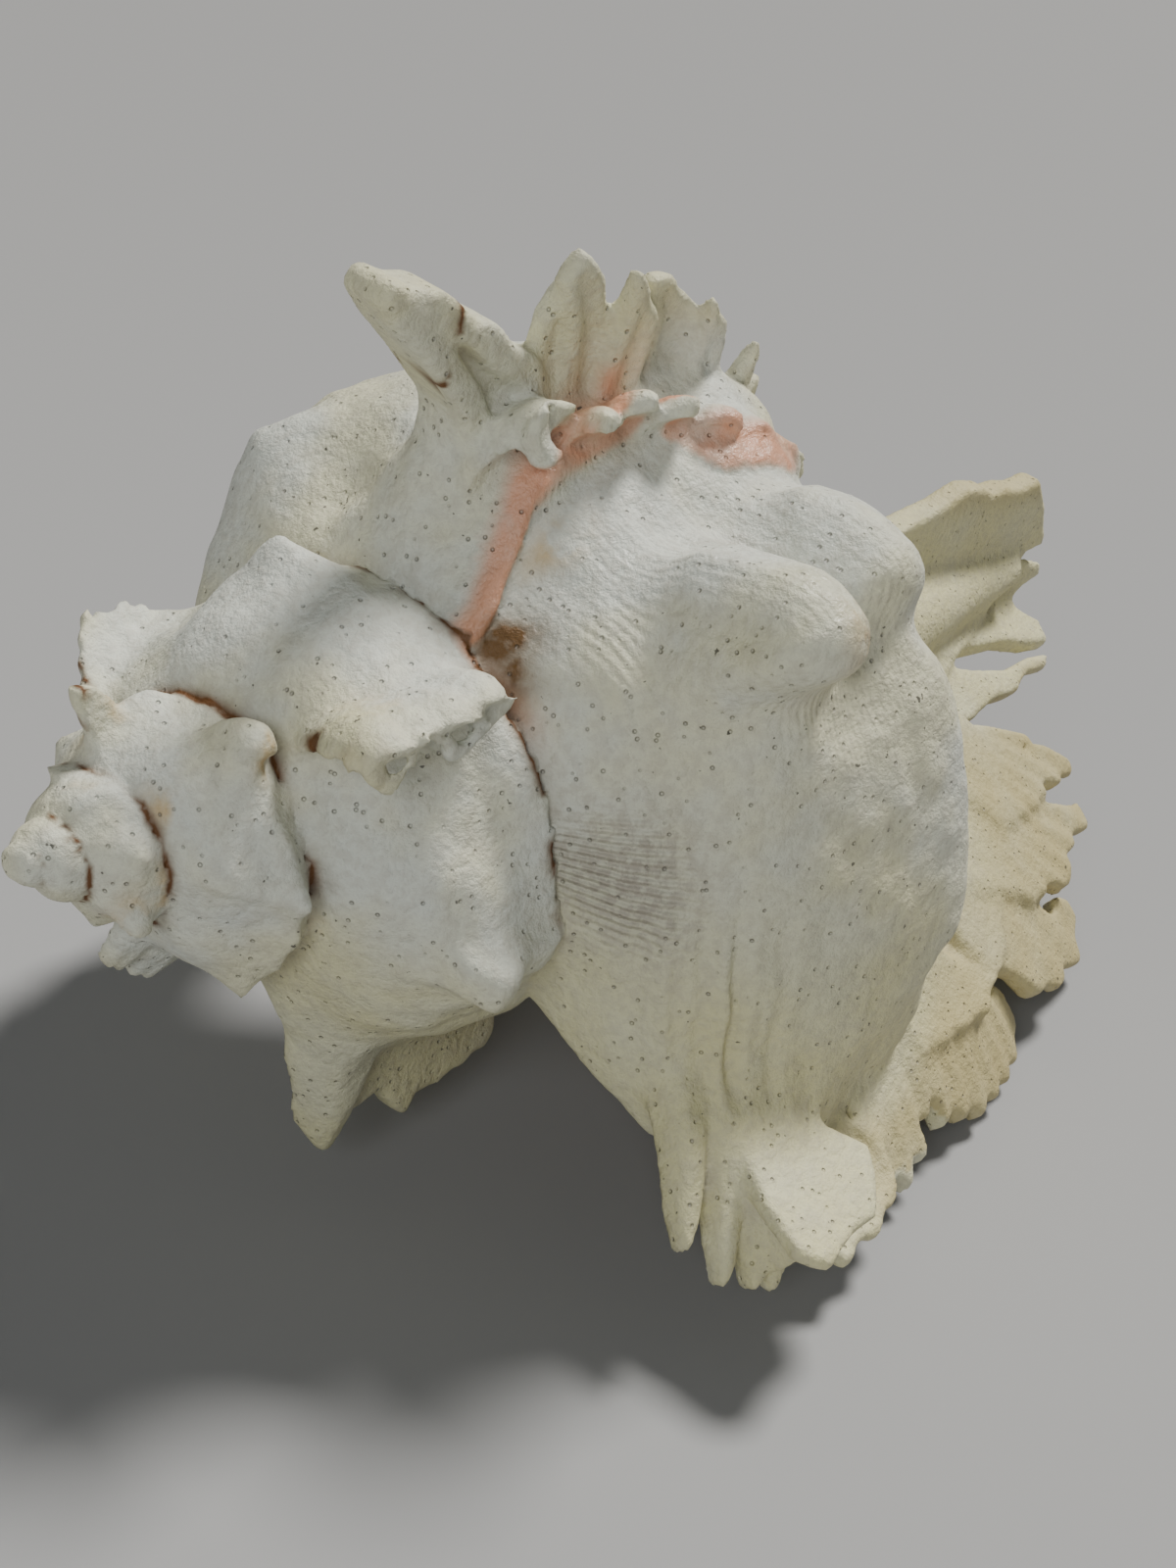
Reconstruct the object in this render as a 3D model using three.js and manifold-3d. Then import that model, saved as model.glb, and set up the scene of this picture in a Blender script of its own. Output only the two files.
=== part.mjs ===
// Murex shell: a spiral body of five whorls with rows of leafy fronds on its growth ridges,
// an open aperture and a slotted canal. One natural solid, in millimetres, +Z up.
import * as THREE from 'three';
import Module from 'manifold-3d';
import { mergeVertices } from 'three/addons/utils/BufferGeometryUtils.js';

// Growth of the spiral. Turn angles are degrees: 0 at the lip, negative towards the apex.
const GROWTH_PER_WHORL = 1.853;
const WHORLS = 5;
const COLUMNS_PER_WHORL = 33;
const FULL_TURN = 360;

// How the shell lies: the axis runs from the apex to the canal, which is a little lower.
const APEX = new THREE.Vector3(-96.18, 3.85, 52.52);
const AXIS_DIP = 3.5;
const LIP_FROM_DOWN = -52;

// Outline of the whorl at the lip: distance along the axis from the apex, then radius.
const OUTLINE = [
  [47.1, 29.0], [49, 32.5], [53.4, 39], [60.4, 46.0], [70.6, 50.8], [80.8, 53.2],
  [87.3, 53.7], [97.3, 49.0], [108.3, 39.0], [119.3, 27.5], [128, 17.0],
];
const SUTURE = OUTLINE[0];
const NEXT_SUTURE = SUTURE[0] * GROWTH_PER_WHORL;
const WHORL_ROWS = [0, 0.05, 0.18, 0.34, 0.52, 0.7, 0.86];
const BASE_ROWS = [0.12, 0.26, 0.42, 0.6, 0.8, 0.95];
const COLUMELLA_RADIUS = 13;
const NECK_END = 128;

// Growth ridges (varices), and the knobs that stand between them, by turn angle.
const RIDGES = [0, -117, -222, -318, -440, -545, -650, -752, -862, -968, -1075, -1185];
const RIDGE_HEIGHT = 4.2;
const RIDGE_SPREAD = 8;
const RIDGE_FRONT = 0.6;
const RIDGE_BACK = 1.3;
const RIDGE_LEAN = 0.25;
const RIDGE_LEAN_CENTRE = 70;
const HOLLOW_DEPTH = 4.5;
const HOLLOW_SPREAD = 17;
const HOLLOW_BEHIND = 25.5;
const LIP_FLARE = 5.5;
const LIP_FLARE_SPREAD = 16;
const KNOBS = [
  { turn: -70, along: 63, height: 8.5 }, { turn: -79, along: 80, height: 7.5 },
  { turn: -163, along: 57, height: 7 }, { turn: -172, along: 76, height: 4 },
  { turn: -186, along: 66, height: -4 }, { turn: -270, along: 60, height: 7 },
  { turn: -324, along: 62, height: 8 }, { turn: -381, along: 70, height: 7 },
  { turn: -495, along: 74, height: 8.5 }, { turn: -600, along: 65, height: 8 },
  { turn: -697, along: 72, height: 8 }, { turn: -803, along: 74, height: 9 },
  { turn: -915, along: 66, height: 8 }, { turn: -1020, along: 68, height: 8 },
  { turn: -1133, along: 70, height: 8 },
];
const KNOB_TURN_SPREAD = 11;
const KNOB_ALONG_SPREAD = 6;

// Where ridges and knobs rise from the suture, and where they fade towards the next one.
const RISE_END = 53;
const LAST_FADE = [96, 124];
const EARLY_FADE = [76, NEXT_SUTURE];
const APEX_CUT = 1.6;

const degrees = THREE.MathUtils.degToRad;
const smooth = THREE.MathUtils.smoothstep;
const bell = (distance, spread) => Math.exp(-((distance / spread) ** 2));
const growth = (turn) => GROWTH_PER_WHORL ** (turn / FULL_TURN);

// A point of the shell from its place along the axis, radius and turn angle, apex at the origin.
function shellPoint(along, radius, turn) {
  const fromDown = degrees(LIP_FROM_DOWN + turn);
  return new THREE.Vector3(along, radius * Math.sin(fromDown), -radius * Math.cos(fromDown));
}

// Radius of the outline, by smooth steps between its points that never overshoot.
function outlineRadius(along) {
  const points = OUTLINE;
  const last = points.length - 1;
  if (along <= points[0][0]) return points[0][1];
  if (along >= points[last][0]) return points[last][1];
  let index = 0;
  while (along > points[index + 1][0]) index += 1;
  const slope = (n) => (points[n + 1][1] - points[n][1]) / (points[n + 1][0] - points[n][0]);
  const tangent = (n) => {
    if (n === 0) return slope(0);
    if (n === last) return slope(last - 1);
    const before = slope(n - 1);
    const after = slope(n);
    return before * after <= 0 ? 0 : (2 * before * after) / (before + after);
  };
  const step = points[index + 1][0] - points[index][0];
  const t = (along - points[index][0]) / step;
  const start = points[index][1];
  const end = points[index + 1][1];
  return start * (1 + 2 * t) * (1 - t) ** 2 + tangent(index) * step * t * (1 - t) ** 2
    + end * t * t * (3 - 2 * t) + tangent(index + 1) * step * t * t * (t - 1);
}

// Ridges, the hollows that follow them, and knobs, as added radius at the lip's scale.
function relief(turn, along) {
  const onWhorl = smooth(along, SUTURE[0], RISE_END);
  const [fadeStart, fadeEnd] = turn > -FULL_TURN ? LAST_FADE : EARLY_FADE;
  const fades = 1 - smooth(along, fadeStart, fadeEnd);
  let added = 0;
  const lean = RIDGE_LEAN * (along - RIDGE_LEAN_CENTRE);
  for (const ridge of RIDGES) {
    const past = turn - ridge - (ridge === 0 ? 0 : lean);
    added += RIDGE_HEIGHT * bell(past, RIDGE_SPREAD * (past > 0 ? RIDGE_FRONT : RIDGE_BACK));
    if (ridge !== 0) added -= HOLLOW_DEPTH * bell(past - HOLLOW_BEHIND, HOLLOW_SPREAD);
  }
  for (const knob of KNOBS) {
    added += knob.height * bell(turn - knob.turn, KNOB_TURN_SPREAD)
      * bell(along - knob.along, KNOB_ALONG_SPREAD);
  }
  added += LIP_FLARE * bell(turn, LIP_FLARE_SPREAD);
  return added * onWhorl * fades;
}

// Outer radius of the shell, in real size, at a turn angle and a place along the lip's outline.
function surfaceRadius(turn, along) {
  const scale = growth(turn);
  const radius = scale * (outlineRadius(along) + relief(turn, along));
  return Math.max(radius, along > NEXT_SUTURE ? COLUMELLA_RADIUS : 0);
}

// The body: a strip wound in a spiral, each whorl joined to the next along the suture.
function bodyGeometry() {
  const columns = WHORLS * COLUMNS_PER_WHORL;
  const rows = WHORL_ROWS.length;
  const positions = [];
  const triangles = [];
  const addVertex = (point) => positions.push(point.x, point.y, point.z) / 3 - 1;
  const apex = addVertex(shellPoint(APEX_CUT, 0, 0));
  const neck = addVertex(shellPoint(NECK_END, 0, 0));
  const grid = [];
  for (let column = 0; column <= columns; column += 1) {
    const turn = (column - columns) * (FULL_TURN / COLUMNS_PER_WHORL);
    const scale = growth(turn);
    grid.push(WHORL_ROWS.map((row) => {
      const along = SUTURE[0] * GROWTH_PER_WHORL ** row;
      return addVertex(shellPoint(along * scale, surfaceRadius(turn, along), turn));
    }));
  }
  for (let column = 0; column <= columns; column += 1) {
    const later = column + COLUMNS_PER_WHORL;
    const turn = (column - columns) * (FULL_TURN / COLUMNS_PER_WHORL);
    const scale = growth(turn);
    if (later <= columns) {
      grid[column].push(grid[later][0]);
    } else {
      const radius = surfaceRadius(turn, NEXT_SUTURE);
      grid[column].push(addVertex(shellPoint(NEXT_SUTURE * scale, radius, turn)));
    }
    if (later >= columns) {
      for (const row of BASE_ROWS) {
        const place = THREE.MathUtils.lerp(NEXT_SUTURE * scale, NECK_END, row);
        const radius = surfaceRadius(turn, place / scale);
        grid[column].push(addVertex(shellPoint(place, radius, turn)));
      }
      grid[column].push(neck);
    }
  }
  for (let column = 0; column < columns; column += 1) {
    const stripEnd = column + COLUMNS_PER_WHORL >= columns ? grid[column].length - 1 : rows;
    for (let row = 0; row < stripEnd; row += 1) {
      const a = grid[column][row];
      const b = grid[column + 1][row];
      const c = grid[column + 1][row + 1];
      const d = grid[column][row + 1];
      if (c !== d) triangles.push(a, c, d);
      triangles.push(a, b, c);
    }
  }
  for (let column = 0; column < COLUMNS_PER_WHORL; column += 1) {
    triangles.push(apex, grid[column + 1][0], grid[column][0]);
  }
  for (let row = 0; row < rows; row += 1) {
    triangles.push(apex, grid[0][row], grid[0][row + 1]);
  }
  const outer = grid[columns];
  const inner = grid[columns - COLUMNS_PER_WHORL].slice(rows);
  for (let row = 1; row < rows; row += 1) {
    triangles.push(outer[0], outer[row + 1], outer[row]);
  }
  for (let row = 0; row + 1 < inner.length; row += 1) {
    triangles.push(inner[row], outer[rows + row + 1], outer[rows + row]);
    if (inner[row + 1] !== outer[rows + row + 1]) {
      triangles.push(inner[row], inner[row + 1], outer[rows + row + 1]);
    }
  }
  const geometry = new THREE.BufferGeometry();
  geometry.setAttribute('position', new THREE.Float32BufferAttribute(positions, 3));
  geometry.setIndex(triangles);
  return geometry;
}

// A closed solid through rings of points: every ring has the same count, the ends are capped.
function loftGeometry(rings) {
  const count = rings[0].length;
  const positions = [];
  const triangles = [];
  for (const ring of rings) {
    for (const point of ring) positions.push(point.x, point.y, point.z);
  }
  for (let ring = 0; ring + 1 < rings.length; ring += 1) {
    for (let side = 0; side < count; side += 1) {
      const next = (side + 1) % count;
      const a = ring * count + side;
      const b = ring * count + next;
      triangles.push(a, b + count, b, a, a + count, b + count);
    }
  }
  const last = (rings.length - 1) * count;
  for (let side = 1; side + 1 < count; side += 1) {
    triangles.push(0, side, side + 1, last, last + side + 1, last + side);
  }
  const geometry = new THREE.BufferGeometry();
  geometry.setAttribute('position', new THREE.Float32BufferAttribute(positions, 3));
  geometry.setIndex(triangles);
  return geometry;
}

// A frond: a leaf that grows from the surface at root, bows out and ends at tip. Its broad
// side follows the old lip edge, and its edges fold forward, in the direction of growth.
const FROND_ROWS = [0, 0.3, 0.58, 0.82, 1];
const FROND_SINK = 3.5;
const FROND_THINNING = 0.45;
const FROND_MIDDLE = { tipShare: 0.45, turnShare: 0.4 };

// Cross-section of a frond: across, in half widths, then forward, in depths of the fold.
const FROND_FRONT = [[-1, 0.8], [-0.5, 0.15], [0, 0], [0.5, 0.15], [1, 0.8]];
const FROND_BACK = [[0.72, -0.3], [0, -0.45], [-0.72, -0.3]];

function frondGeometry({ root, tip, widths, thick = 2.6, fold = 0.35, bow = [0, 0] }) {
  const rootTurn = root[0];
  const scale = growth(rootTurn);
  const onCanal = root.length > 2;
  const rootAlong = onCanal ? root[1] : root[1] * scale;
  const radius = onCanal ? root[2] : surfaceRadius(rootTurn, root[1]);
  const start = shellPoint(rootAlong, radius - FROND_SINK * Math.sqrt(scale), rootTurn);
  const end = shellPoint(tip[1], tip[2], tip[0]);
  const middle = shellPoint(
    THREE.MathUtils.lerp(rootAlong, tip[1], FROND_MIDDLE.tipShare) + bow[0],
    THREE.MathUtils.lerp(radius, tip[2], FROND_MIDDLE.tipShare) + bow[1],
    THREE.MathUtils.lerp(rootTurn, tip[0], FROND_MIDDLE.turnShare),
  );
  const centre = new THREE.QuadraticBezierCurve3(start, middle, end);
  const width = new THREE.QuadraticBezierCurve3(
    new THREE.Vector3(widths[0], 0, 0),
    new THREE.Vector3(widths[1], 0, 0),
    new THREE.Vector3(widths[2], 0, 0),
  );
  const rings = FROND_ROWS.map((t) => {
    const point = centre.getPoint(t);
    const tangent = centre.getTangent(t);
    const forward = shellPoint(0, 1, rootTurn + 90);
    const across = new THREE.Vector3().crossVectors(forward, tangent).normalize();
    const front = new THREE.Vector3().crossVectors(tangent, across).normalize();
    const half = width.getPoint(t).x / 2;
    const wall = thick * Math.sqrt(scale) * (1 - FROND_THINNING * t);
    const depth = fold * half * (1 + t) / 2;
    const place = (x, forwards) => point.clone()
      .addScaledVector(across, x * half)
      .addScaledVector(front, forwards);
    return [
      ...FROND_FRONT.map(([x, y]) => place(x, y * depth)),
      ...FROND_BACK.map(([x, y]) => place(x, y * depth - wall)),
    ];
  });
  return loftGeometry(rings);
}

// Fronds of the lip, from the suture to the canal: root turn and place, tip turn, place, radius.
const LIP_FRONDS = [
  { root: [-4, 58], tip: [2, 51.5, 59.5], widths: [8, 9, 5], bow: [0, 0] },
  { root: [-4, 61], tip: [2, 55.5, 65.5], widths: [8, 10, 5], bow: [0, 0] },
  { root: [-4, 65], tip: [3, 61, 68], widths: [9, 11, 6], bow: [0, 0] },
  { root: [-8, 68], tip: [-2, 72, 66], widths: [12, 22, 12], fold: 1.1, bow: [2, 0] },
  { root: [-4, 76], tip: [3, 79, 65.5], widths: [9, 10, 4], bow: [0, 0] },
  { root: [-4, 81], tip: [3, 91, 67], widths: [12, 14, 5], bow: [0, 0] },
  { root: [-4, 88], tip: [3, 107, 66], widths: [12, 16, 6], fold: 0.6, bow: [-2, 2] },
  { root: [-4, 94], tip: [2, 122, 65], widths: [14, 20, 5], fold: 0.6, bow: [-2, 3] },
  { root: [-4, 101], tip: [2, 133, 60], widths: [12, 14, 4], bow: [-2, 3] },
  { root: [-4, 106], tip: [2, 157, 53], widths: [14, 18, 5], fold: 0.6, bow: [0, 2] },
  { root: [-4, 113], tip: [2, 156, 44], widths: [12, 12, 4], bow: [0, 0] },
  { root: [-4, 117], tip: [2, 174, 40], widths: [12, 12, 4], bow: [2, 0] },
];

// Fronds of the ridge on top of the body: a grooved spine at the shoulder, then leaves.
const TOP_FRONDS = [
  { root: [-119, 63.5], tip: [-121, 30.5, 51], widths: [21, 10, 4.5], thick: 5, bow: [2, 1] },
  { root: [-118, 61], tip: [-117, 51, 51], widths: [9, 8, 3.5], bow: [0, 0] },
  { root: [-118, 66], tip: [-117, 54, 55], widths: [10, 12, 6], bow: [2, 0] },
  { root: [-118, 72], tip: [-117, 63, 53.5], widths: [10, 10, 5], bow: [0, 0] },
  { root: [-118, 79], tip: [-117, 73, 50], widths: [10, 8, 4], bow: [0, 0] },
  { root: [-118, 86], tip: [-116, 83, 44], widths: [8, 6, 3], bow: [0, 0] },
  { root: [-112, 84], tip: [-110, 94, 33], widths: [7, 6, 3], bow: [0, 2] },
  { root: [-118, 99], tip: [-117, 101, 28.5], widths: [10, 7, 3], bow: [0, 0] },
];

// Fronds of the ridge at the back. The longest ones curl down and carry that side.
const BACK_FRONDS = [
  { root: [-223, 54], tip: [-228, 42, 45], widths: [13, 9, 4], thick: 4.5, bow: [-3, 2] },
  { root: [-222, 63], tip: [-238, 48, 50], widths: [10, 10, 4], thick: 3.5, bow: [0, 3] },
  { root: [-222, 72], tip: [-252, 58, 54], widths: [11, 10, 4], thick: 4, bow: [0, 7] },
  { root: [-224, 84], tip: [-270, 72, 58.6], widths: [14, 11, 4], thick: 5, bow: [0, 13] },
  { root: [-222, 98], tip: [-250, 88, 46], widths: [12, 10, 4], thick: 4, bow: [0, 6] },
];

// Fronds of the ridges on the spire that can be seen from the lip's side and from below.
const SPIRE_FRONDS = [
  { root: [-319, 66], tip: [-313, 40, 49], widths: [12, 8, 4.5], thick: 4, fold: 0.8 },
  { root: [-318, 74], tip: [-315, 48, 39.5], widths: [24, 24, 20], thick: 5, fold: 0.1 },
  { root: [-318, 72], tip: [-314, 50, 46], widths: [8, 6, 3], bow: [0, 0] },
  { root: [-318, 80], tip: [-314, 56.5, 45], widths: [8, 6, 3], bow: [0, 0] },
  { root: [-441, 55], tip: [-436, 20.5, 27.5], widths: [11, 7, 3], thick: 4, fold: 0.8, bow: [0, 0] },
  { root: [-441, 63], tip: [-437, 28, 29.5], widths: [9, 8, 4], bow: [0, 0] },
  { root: [-441, 71], tip: [-438, 33.5, 30], widths: [9, 8, 4], bow: [0, 0] },
  { root: [-442, 79], tip: [-440, 38.5, 29], widths: [9, 7, 3], bow: [0, 0] },
  { root: [-546, 57], tip: [-543, 24, 24.5], widths: [9, 7, 4], thick: 4, bow: [0, 0] },
  { root: [-651, 58], tip: [-648, 17.5, 20], widths: [7, 6, 4], thick: 4, bow: [0, 0] },
];

// Fronds of the canal: root turn, place and radius, then the tip, all in real size. The first
// one is the skirt that carries the lip's edge on to the canal.
const CANAL_FRONDS = [
  { root: [-4, 127, 10], tip: [1, 140, 28], widths: [36, 30, 18], thick: 4.5, fold: 0.1 },
  { root: [-2, 138, 20], tip: [4, 171, 32], widths: [11, 9, 5], bow: [0, 1] },
  { root: [-4, 148, 8], tip: [3, 184, 13], widths: [11, 7, 4], bow: [0, 3] },
  { root: [-10, 158, 6], tip: [0, 187, 8], widths: [10, 7, 4], bow: [0, 1] },
  { root: [-117, 158, 13], tip: [-117, 172, 20], widths: [14, 11, 6], bow: [0, 1] },
  { root: [-117, 166, 13], tip: [-117, 184, 15], widths: [12, 10, 6], bow: [0, 1] },
  { root: [-117, 170, 10], tip: [-110, 190, 7], widths: [12, 9, 5], bow: [0, 1] },
  { root: [-212, 128, 14], tip: [-222, 141, 31], widths: [12, 9, 4], bow: [-2, 4] },
  { root: [-212, 146, 12], tip: [-222, 160, 27], widths: [11, 8, 4], bow: [-2, 4] },
  { root: [-212, 162, 12], tip: [-222, 176, 24], widths: [10, 7, 4], bow: [-2, 4] },
];

const FROND_GROUPS = [LIP_FRONDS, TOP_FRONDS, BACK_FRONDS, SPIRE_FRONDS, CANAL_FRONDS];

// The canal: a bent tapering tube from inside the body to its flattened tip.
const CANAL_BEND_TURN = -130;
const CANAL_LINE = [
  { along: 96, lift: 0, half: [17, 17] },
  { along: 122, lift: 0, half: [15, 14] },
  { along: 148, lift: 2, half: [12, 10.5] },
  { along: 166, lift: 6, half: [10.5, 8.5] },
  { along: 180, lift: 9, half: [9, 6] },
];
const CANAL_SIDES = 12;

function canalGeometry() {
  const up = shellPoint(0, 1, CANAL_BEND_TURN);
  const side = shellPoint(0, 1, CANAL_BEND_TURN + 90);
  const rings = CANAL_LINE.map(({ along, lift, half }) => {
    const centre = shellPoint(along, lift, CANAL_BEND_TURN);
    const ring = [];
    for (let index = 0; index < CANAL_SIDES; index += 1) {
      const angle = (index / CANAL_SIDES) * 2 * Math.PI;
      ring.push(centre.clone()
        .addScaledVector(side, half[0] * Math.cos(angle))
        .addScaledVector(up, half[1] * Math.sin(angle)));
    }
    return ring;
  });
  return loftGeometry(rings);
}

// The slot that runs the length of the canal and opens it to the aperture.
const SLOT_TURN = 62;
const SLOT_WIDTH = 4;
const SLOT_REACH = 30;
const SLOT_DEPTH = 2;
const PAST_CANAL_END = { along: 12, lift: 4 };

function slotGeometry() {
  const outward = shellPoint(0, 1, SLOT_TURN);
  const side = shellPoint(0, 1, SLOT_TURN + 90);
  const last = CANAL_LINE[CANAL_LINE.length - 1];
  const beyond = {
    along: last.along + PAST_CANAL_END.along,
    lift: last.lift + PAST_CANAL_END.lift,
  };
  const rings = [...CANAL_LINE, beyond].map(({ along, lift }) => {
    const centre = shellPoint(along, lift, CANAL_BEND_TURN);
    return [[-1, -1], [-1, 1], [1, 1], [1, -1]].map(([out, across]) => centre.clone()
      .addScaledVector(outward, out > 0 ? SLOT_REACH : -SLOT_DEPTH)
      .addScaledVector(side, (across * SLOT_WIDTH) / 2));
  });
  return loftGeometry(rings);
}

// The hollow of the last whorl, at the lip's scale: along the axis, then radius.
const HOLLOW_OUTLINE = [
  [53.5, 31], [58, 37], [66, 43], [76, 46.5], [86, 46.5], [96, 41.5], [105, 33],
  [111, 25], [112, 19], [104, 17], [92, 17], [80, 18], [70, 20], [60, 25],
];
const HOLLOW_TURNS = [-165, -138, -112, -88, -65, -42, -20, 0, 8];
const HOLLOW_LEAST_RADIUS = COLUMELLA_RADIUS + 1.5;

function hollowGeometry() {
  const rings = HOLLOW_TURNS.map((turn) => {
    const scale = growth(Math.min(turn, 0));
    return HOLLOW_OUTLINE.map(([along, radius]) => {
      const outward = Math.max(radius * scale, HOLLOW_LEAST_RADIUS);
      return shellPoint(along * scale, outward, turn);
    });
  });
  return loftGeometry(rings);
}

const wasm = await Module();
wasm.setup();
const SAME_POINT = 1e-5;

function toSolid(geometry) {
  const merged = mergeVertices(geometry, SAME_POINT);
  return new wasm.Manifold(new wasm.Mesh({
    numProp: 3,
    vertProperties: new Float32Array(merged.attributes.position.array),
    triVerts: new Uint32Array(merged.index.array),
  }));
}

function toGeometry(solid) {
  const mesh = solid.getMesh();
  const geometry = new THREE.BufferGeometry();
  geometry.setAttribute('position', new THREE.BufferAttribute(mesh.vertProperties, 3));
  geometry.setIndex(new THREE.BufferAttribute(mesh.triVerts, 1));
  return geometry;
}

let solid = toSolid(bodyGeometry());
solid = solid.add(toSolid(canalGeometry()));
for (const group of FROND_GROUPS) {
  for (const frond of group) solid = solid.add(toSolid(frondGeometry(frond)));
}
solid = solid.subtract(toSolid(hollowGeometry()));
solid = solid.subtract(toSolid(slotGeometry()));

const geometry = toGeometry(solid);
geometry.computeVertexNormals();
const chalkyShell = new THREE.MeshStandardMaterial({ color: 0xe6e0cf, roughness: 0.6, metalness: 0 });
const shell = new THREE.Mesh(geometry, chalkyShell);
shell.name = 'shell';
shell.position.copy(APEX);
shell.rotation.y = degrees(AXIS_DIP);

const object = new THREE.Group();
object.add(shell);
export default object;
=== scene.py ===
import itertools
import math

import bmesh
import bpy
import numpy as np
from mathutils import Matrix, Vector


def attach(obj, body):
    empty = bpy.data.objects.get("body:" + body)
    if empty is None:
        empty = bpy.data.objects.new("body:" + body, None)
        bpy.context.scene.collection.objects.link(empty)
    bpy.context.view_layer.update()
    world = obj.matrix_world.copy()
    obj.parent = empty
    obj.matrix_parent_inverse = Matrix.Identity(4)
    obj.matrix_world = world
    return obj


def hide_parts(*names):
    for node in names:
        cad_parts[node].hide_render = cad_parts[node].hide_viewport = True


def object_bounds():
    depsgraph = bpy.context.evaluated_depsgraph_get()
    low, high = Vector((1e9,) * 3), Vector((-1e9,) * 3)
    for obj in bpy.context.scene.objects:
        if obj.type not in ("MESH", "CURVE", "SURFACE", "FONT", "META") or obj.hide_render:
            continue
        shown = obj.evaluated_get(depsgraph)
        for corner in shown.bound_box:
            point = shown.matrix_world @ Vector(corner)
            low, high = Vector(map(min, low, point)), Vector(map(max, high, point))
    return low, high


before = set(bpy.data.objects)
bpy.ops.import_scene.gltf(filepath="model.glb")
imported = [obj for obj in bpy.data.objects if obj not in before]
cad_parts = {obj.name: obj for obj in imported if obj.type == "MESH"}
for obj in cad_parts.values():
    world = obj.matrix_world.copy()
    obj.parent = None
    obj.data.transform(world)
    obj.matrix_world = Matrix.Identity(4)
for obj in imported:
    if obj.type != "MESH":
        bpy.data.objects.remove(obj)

import openvdb
from mathutils import Matrix, Vector

CAD_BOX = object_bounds()
MM = 0.001

# How the shell lies: the apex, how far the axis dips, where the lip stands from straight down, and
# the least height above the floor
APEX = np.array([-96.18, 3.85, 52.52])
AXIS_DIP = math.radians(3.5)
LIP_FROM_DOWN = -52.0
LOWEST = 0.3

# Growth of the spiral and outline of the whorl at the lip: along, radius
GROWTH_PER_WHORL = 1.853
WHORLS = 5
OUTLINE = [
    (47.1, 29.0), (49, 32.5), (53.4, 39), (60.4, 46.0), (70.6, 50.8), (80.8, 53.2),
    (87.3, 53.7), (97.3, 49.0), (108.3, 39.0), (119.3, 27.5), (128, 17.0),
]
SUTURE = OUTLINE[0][0]
NEXT_SUTURE = SUTURE * GROWTH_PER_WHORL
COLUMELLA_RADIUS = 13.0
SUTURE_GROOVE = (1.5, 2.6)  # depth and spread

# The broken tip, and the neck of the last whorl, which tapers into the canal
TIP_BREAK = 1.6
NECK_END = 134.0
NECK_ROUNDING = 3.0
NECK_TAPER_START = 120.0
NECK_TAPER = 0.4

# Growth ridges, by turn. Each rises over the first spread and drops over the second, leans with
# the place along, and has a hollow past it. The ridge on top has a low stretch in its crest.
RIDGES = [0, -117, -222, -318, -440, -545, -650, -752, -862, -968, -1075, -1185]
TOP_RIDGE = -117
RIDGE_HEIGHT = 4.2
RIDGE_SPREADS = (10.4, 4.8)
RIDGE_LEAN = 0.25
RIDGE_LEAN_FROM = 70.0
LOW_CREST = 0.95
LOW_CREST_PLACE = (76.0, 17.0)
HOLLOW_DEPTH = 4.5
HOLLOW_SPREAD = 17.0
HOLLOW_PAST = 1.5 * HOLLOW_SPREAD

# The lip's flare, which fades along with the lip's ridge
LIP_FLARE = 5.5
LIP_FLARE_SPREAD = 16.0
LIP_FADE = 0.9
LIP_FADE_ALONG = (68.0, 84.0)

# Where all this relief starts and ends, along
RELIEF_FULL = 53.0
LAST_WHORL_FADE = (96.0, 124.0)
EARLIER_WHORL_FADE = (76.0, NEXT_SUTURE)

# Knobs between the ridges: turn, along, height
KNOBS = [
    (-66, 64, 3), (-72, 82, 3), (-141, 54, -5), (-119, 52, 4), (-163, 57, 7), (-172, 76, 4),
    (-186, 66, -4), (-270, 60, 7), (-324, 62, 8), (-381, 70, 9), (-495, 74, 11), (-600, 65, 8),
    (-697, 72, 10), (-803, 74, 11), (-772, 79, 6), (-752, 80, 9), (-733, 80, 9), (-716, 79, 8),
    (-915, 66, 10), (-1020, 68, 10), (-1133, 70, 10),
]
KNOB_TURN_SPREAD = 11.0
KNOB_ALONG_SPREAD = 6.0
KNOB_SHARPNESS = 1.3

GRID_STEP = 0.6
GRID_MARGIN = 3.0
TRIANGLES = 196000


def smoothstep(value, low, high):
    """0 up to low, 1 from high on, and a smooth rise between them."""
    t = np.clip((value - low) / (high - low), 0.0, 1.0)
    return t * t * (3.0 - 2.0 * t)


def bell(distance, spread):
    return np.exp(-((distance / spread) ** 2))


def near(value, place):
    """A bell about a place, given as its centre and spread."""
    return bell(value - place[0], place[1])


def growth(turn):
    """Size at a turn, against the size at the lip."""
    return GROWTH_PER_WHORL ** (turn / 360.0)


def blend_min(a, b, reach):
    """The lesser of two distances, with a fillet of this reach where they meet."""
    h = np.clip(0.5 + 0.5 * (b - a) / reach, 0.0, 1.0)
    return b + (a - b) * h - reach * h * (1.0 - h)


def blend_max(a, b, reach):
    """The greater of two distances, with a rounding of this reach where they meet."""
    return -blend_min(-a, -b, reach)


def waves(points, size, seed, count=14):
    """Smooth noise about zero, at 3-D points, from waves in seeded directions."""
    rng = np.random.default_rng(seed)
    total = np.zeros(points.shape[:-1], np.float32)
    for _ in range(count):
        direction = rng.normal(size=3)
        direction *= 2.0 * math.pi / (size * np.linalg.norm(direction) * rng.uniform(0.7, 1.5))
        total += np.sin(points @ direction.astype(np.float32) + rng.uniform(0, 2.0 * math.pi))
    return total * math.sqrt(2.0 / count)


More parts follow.
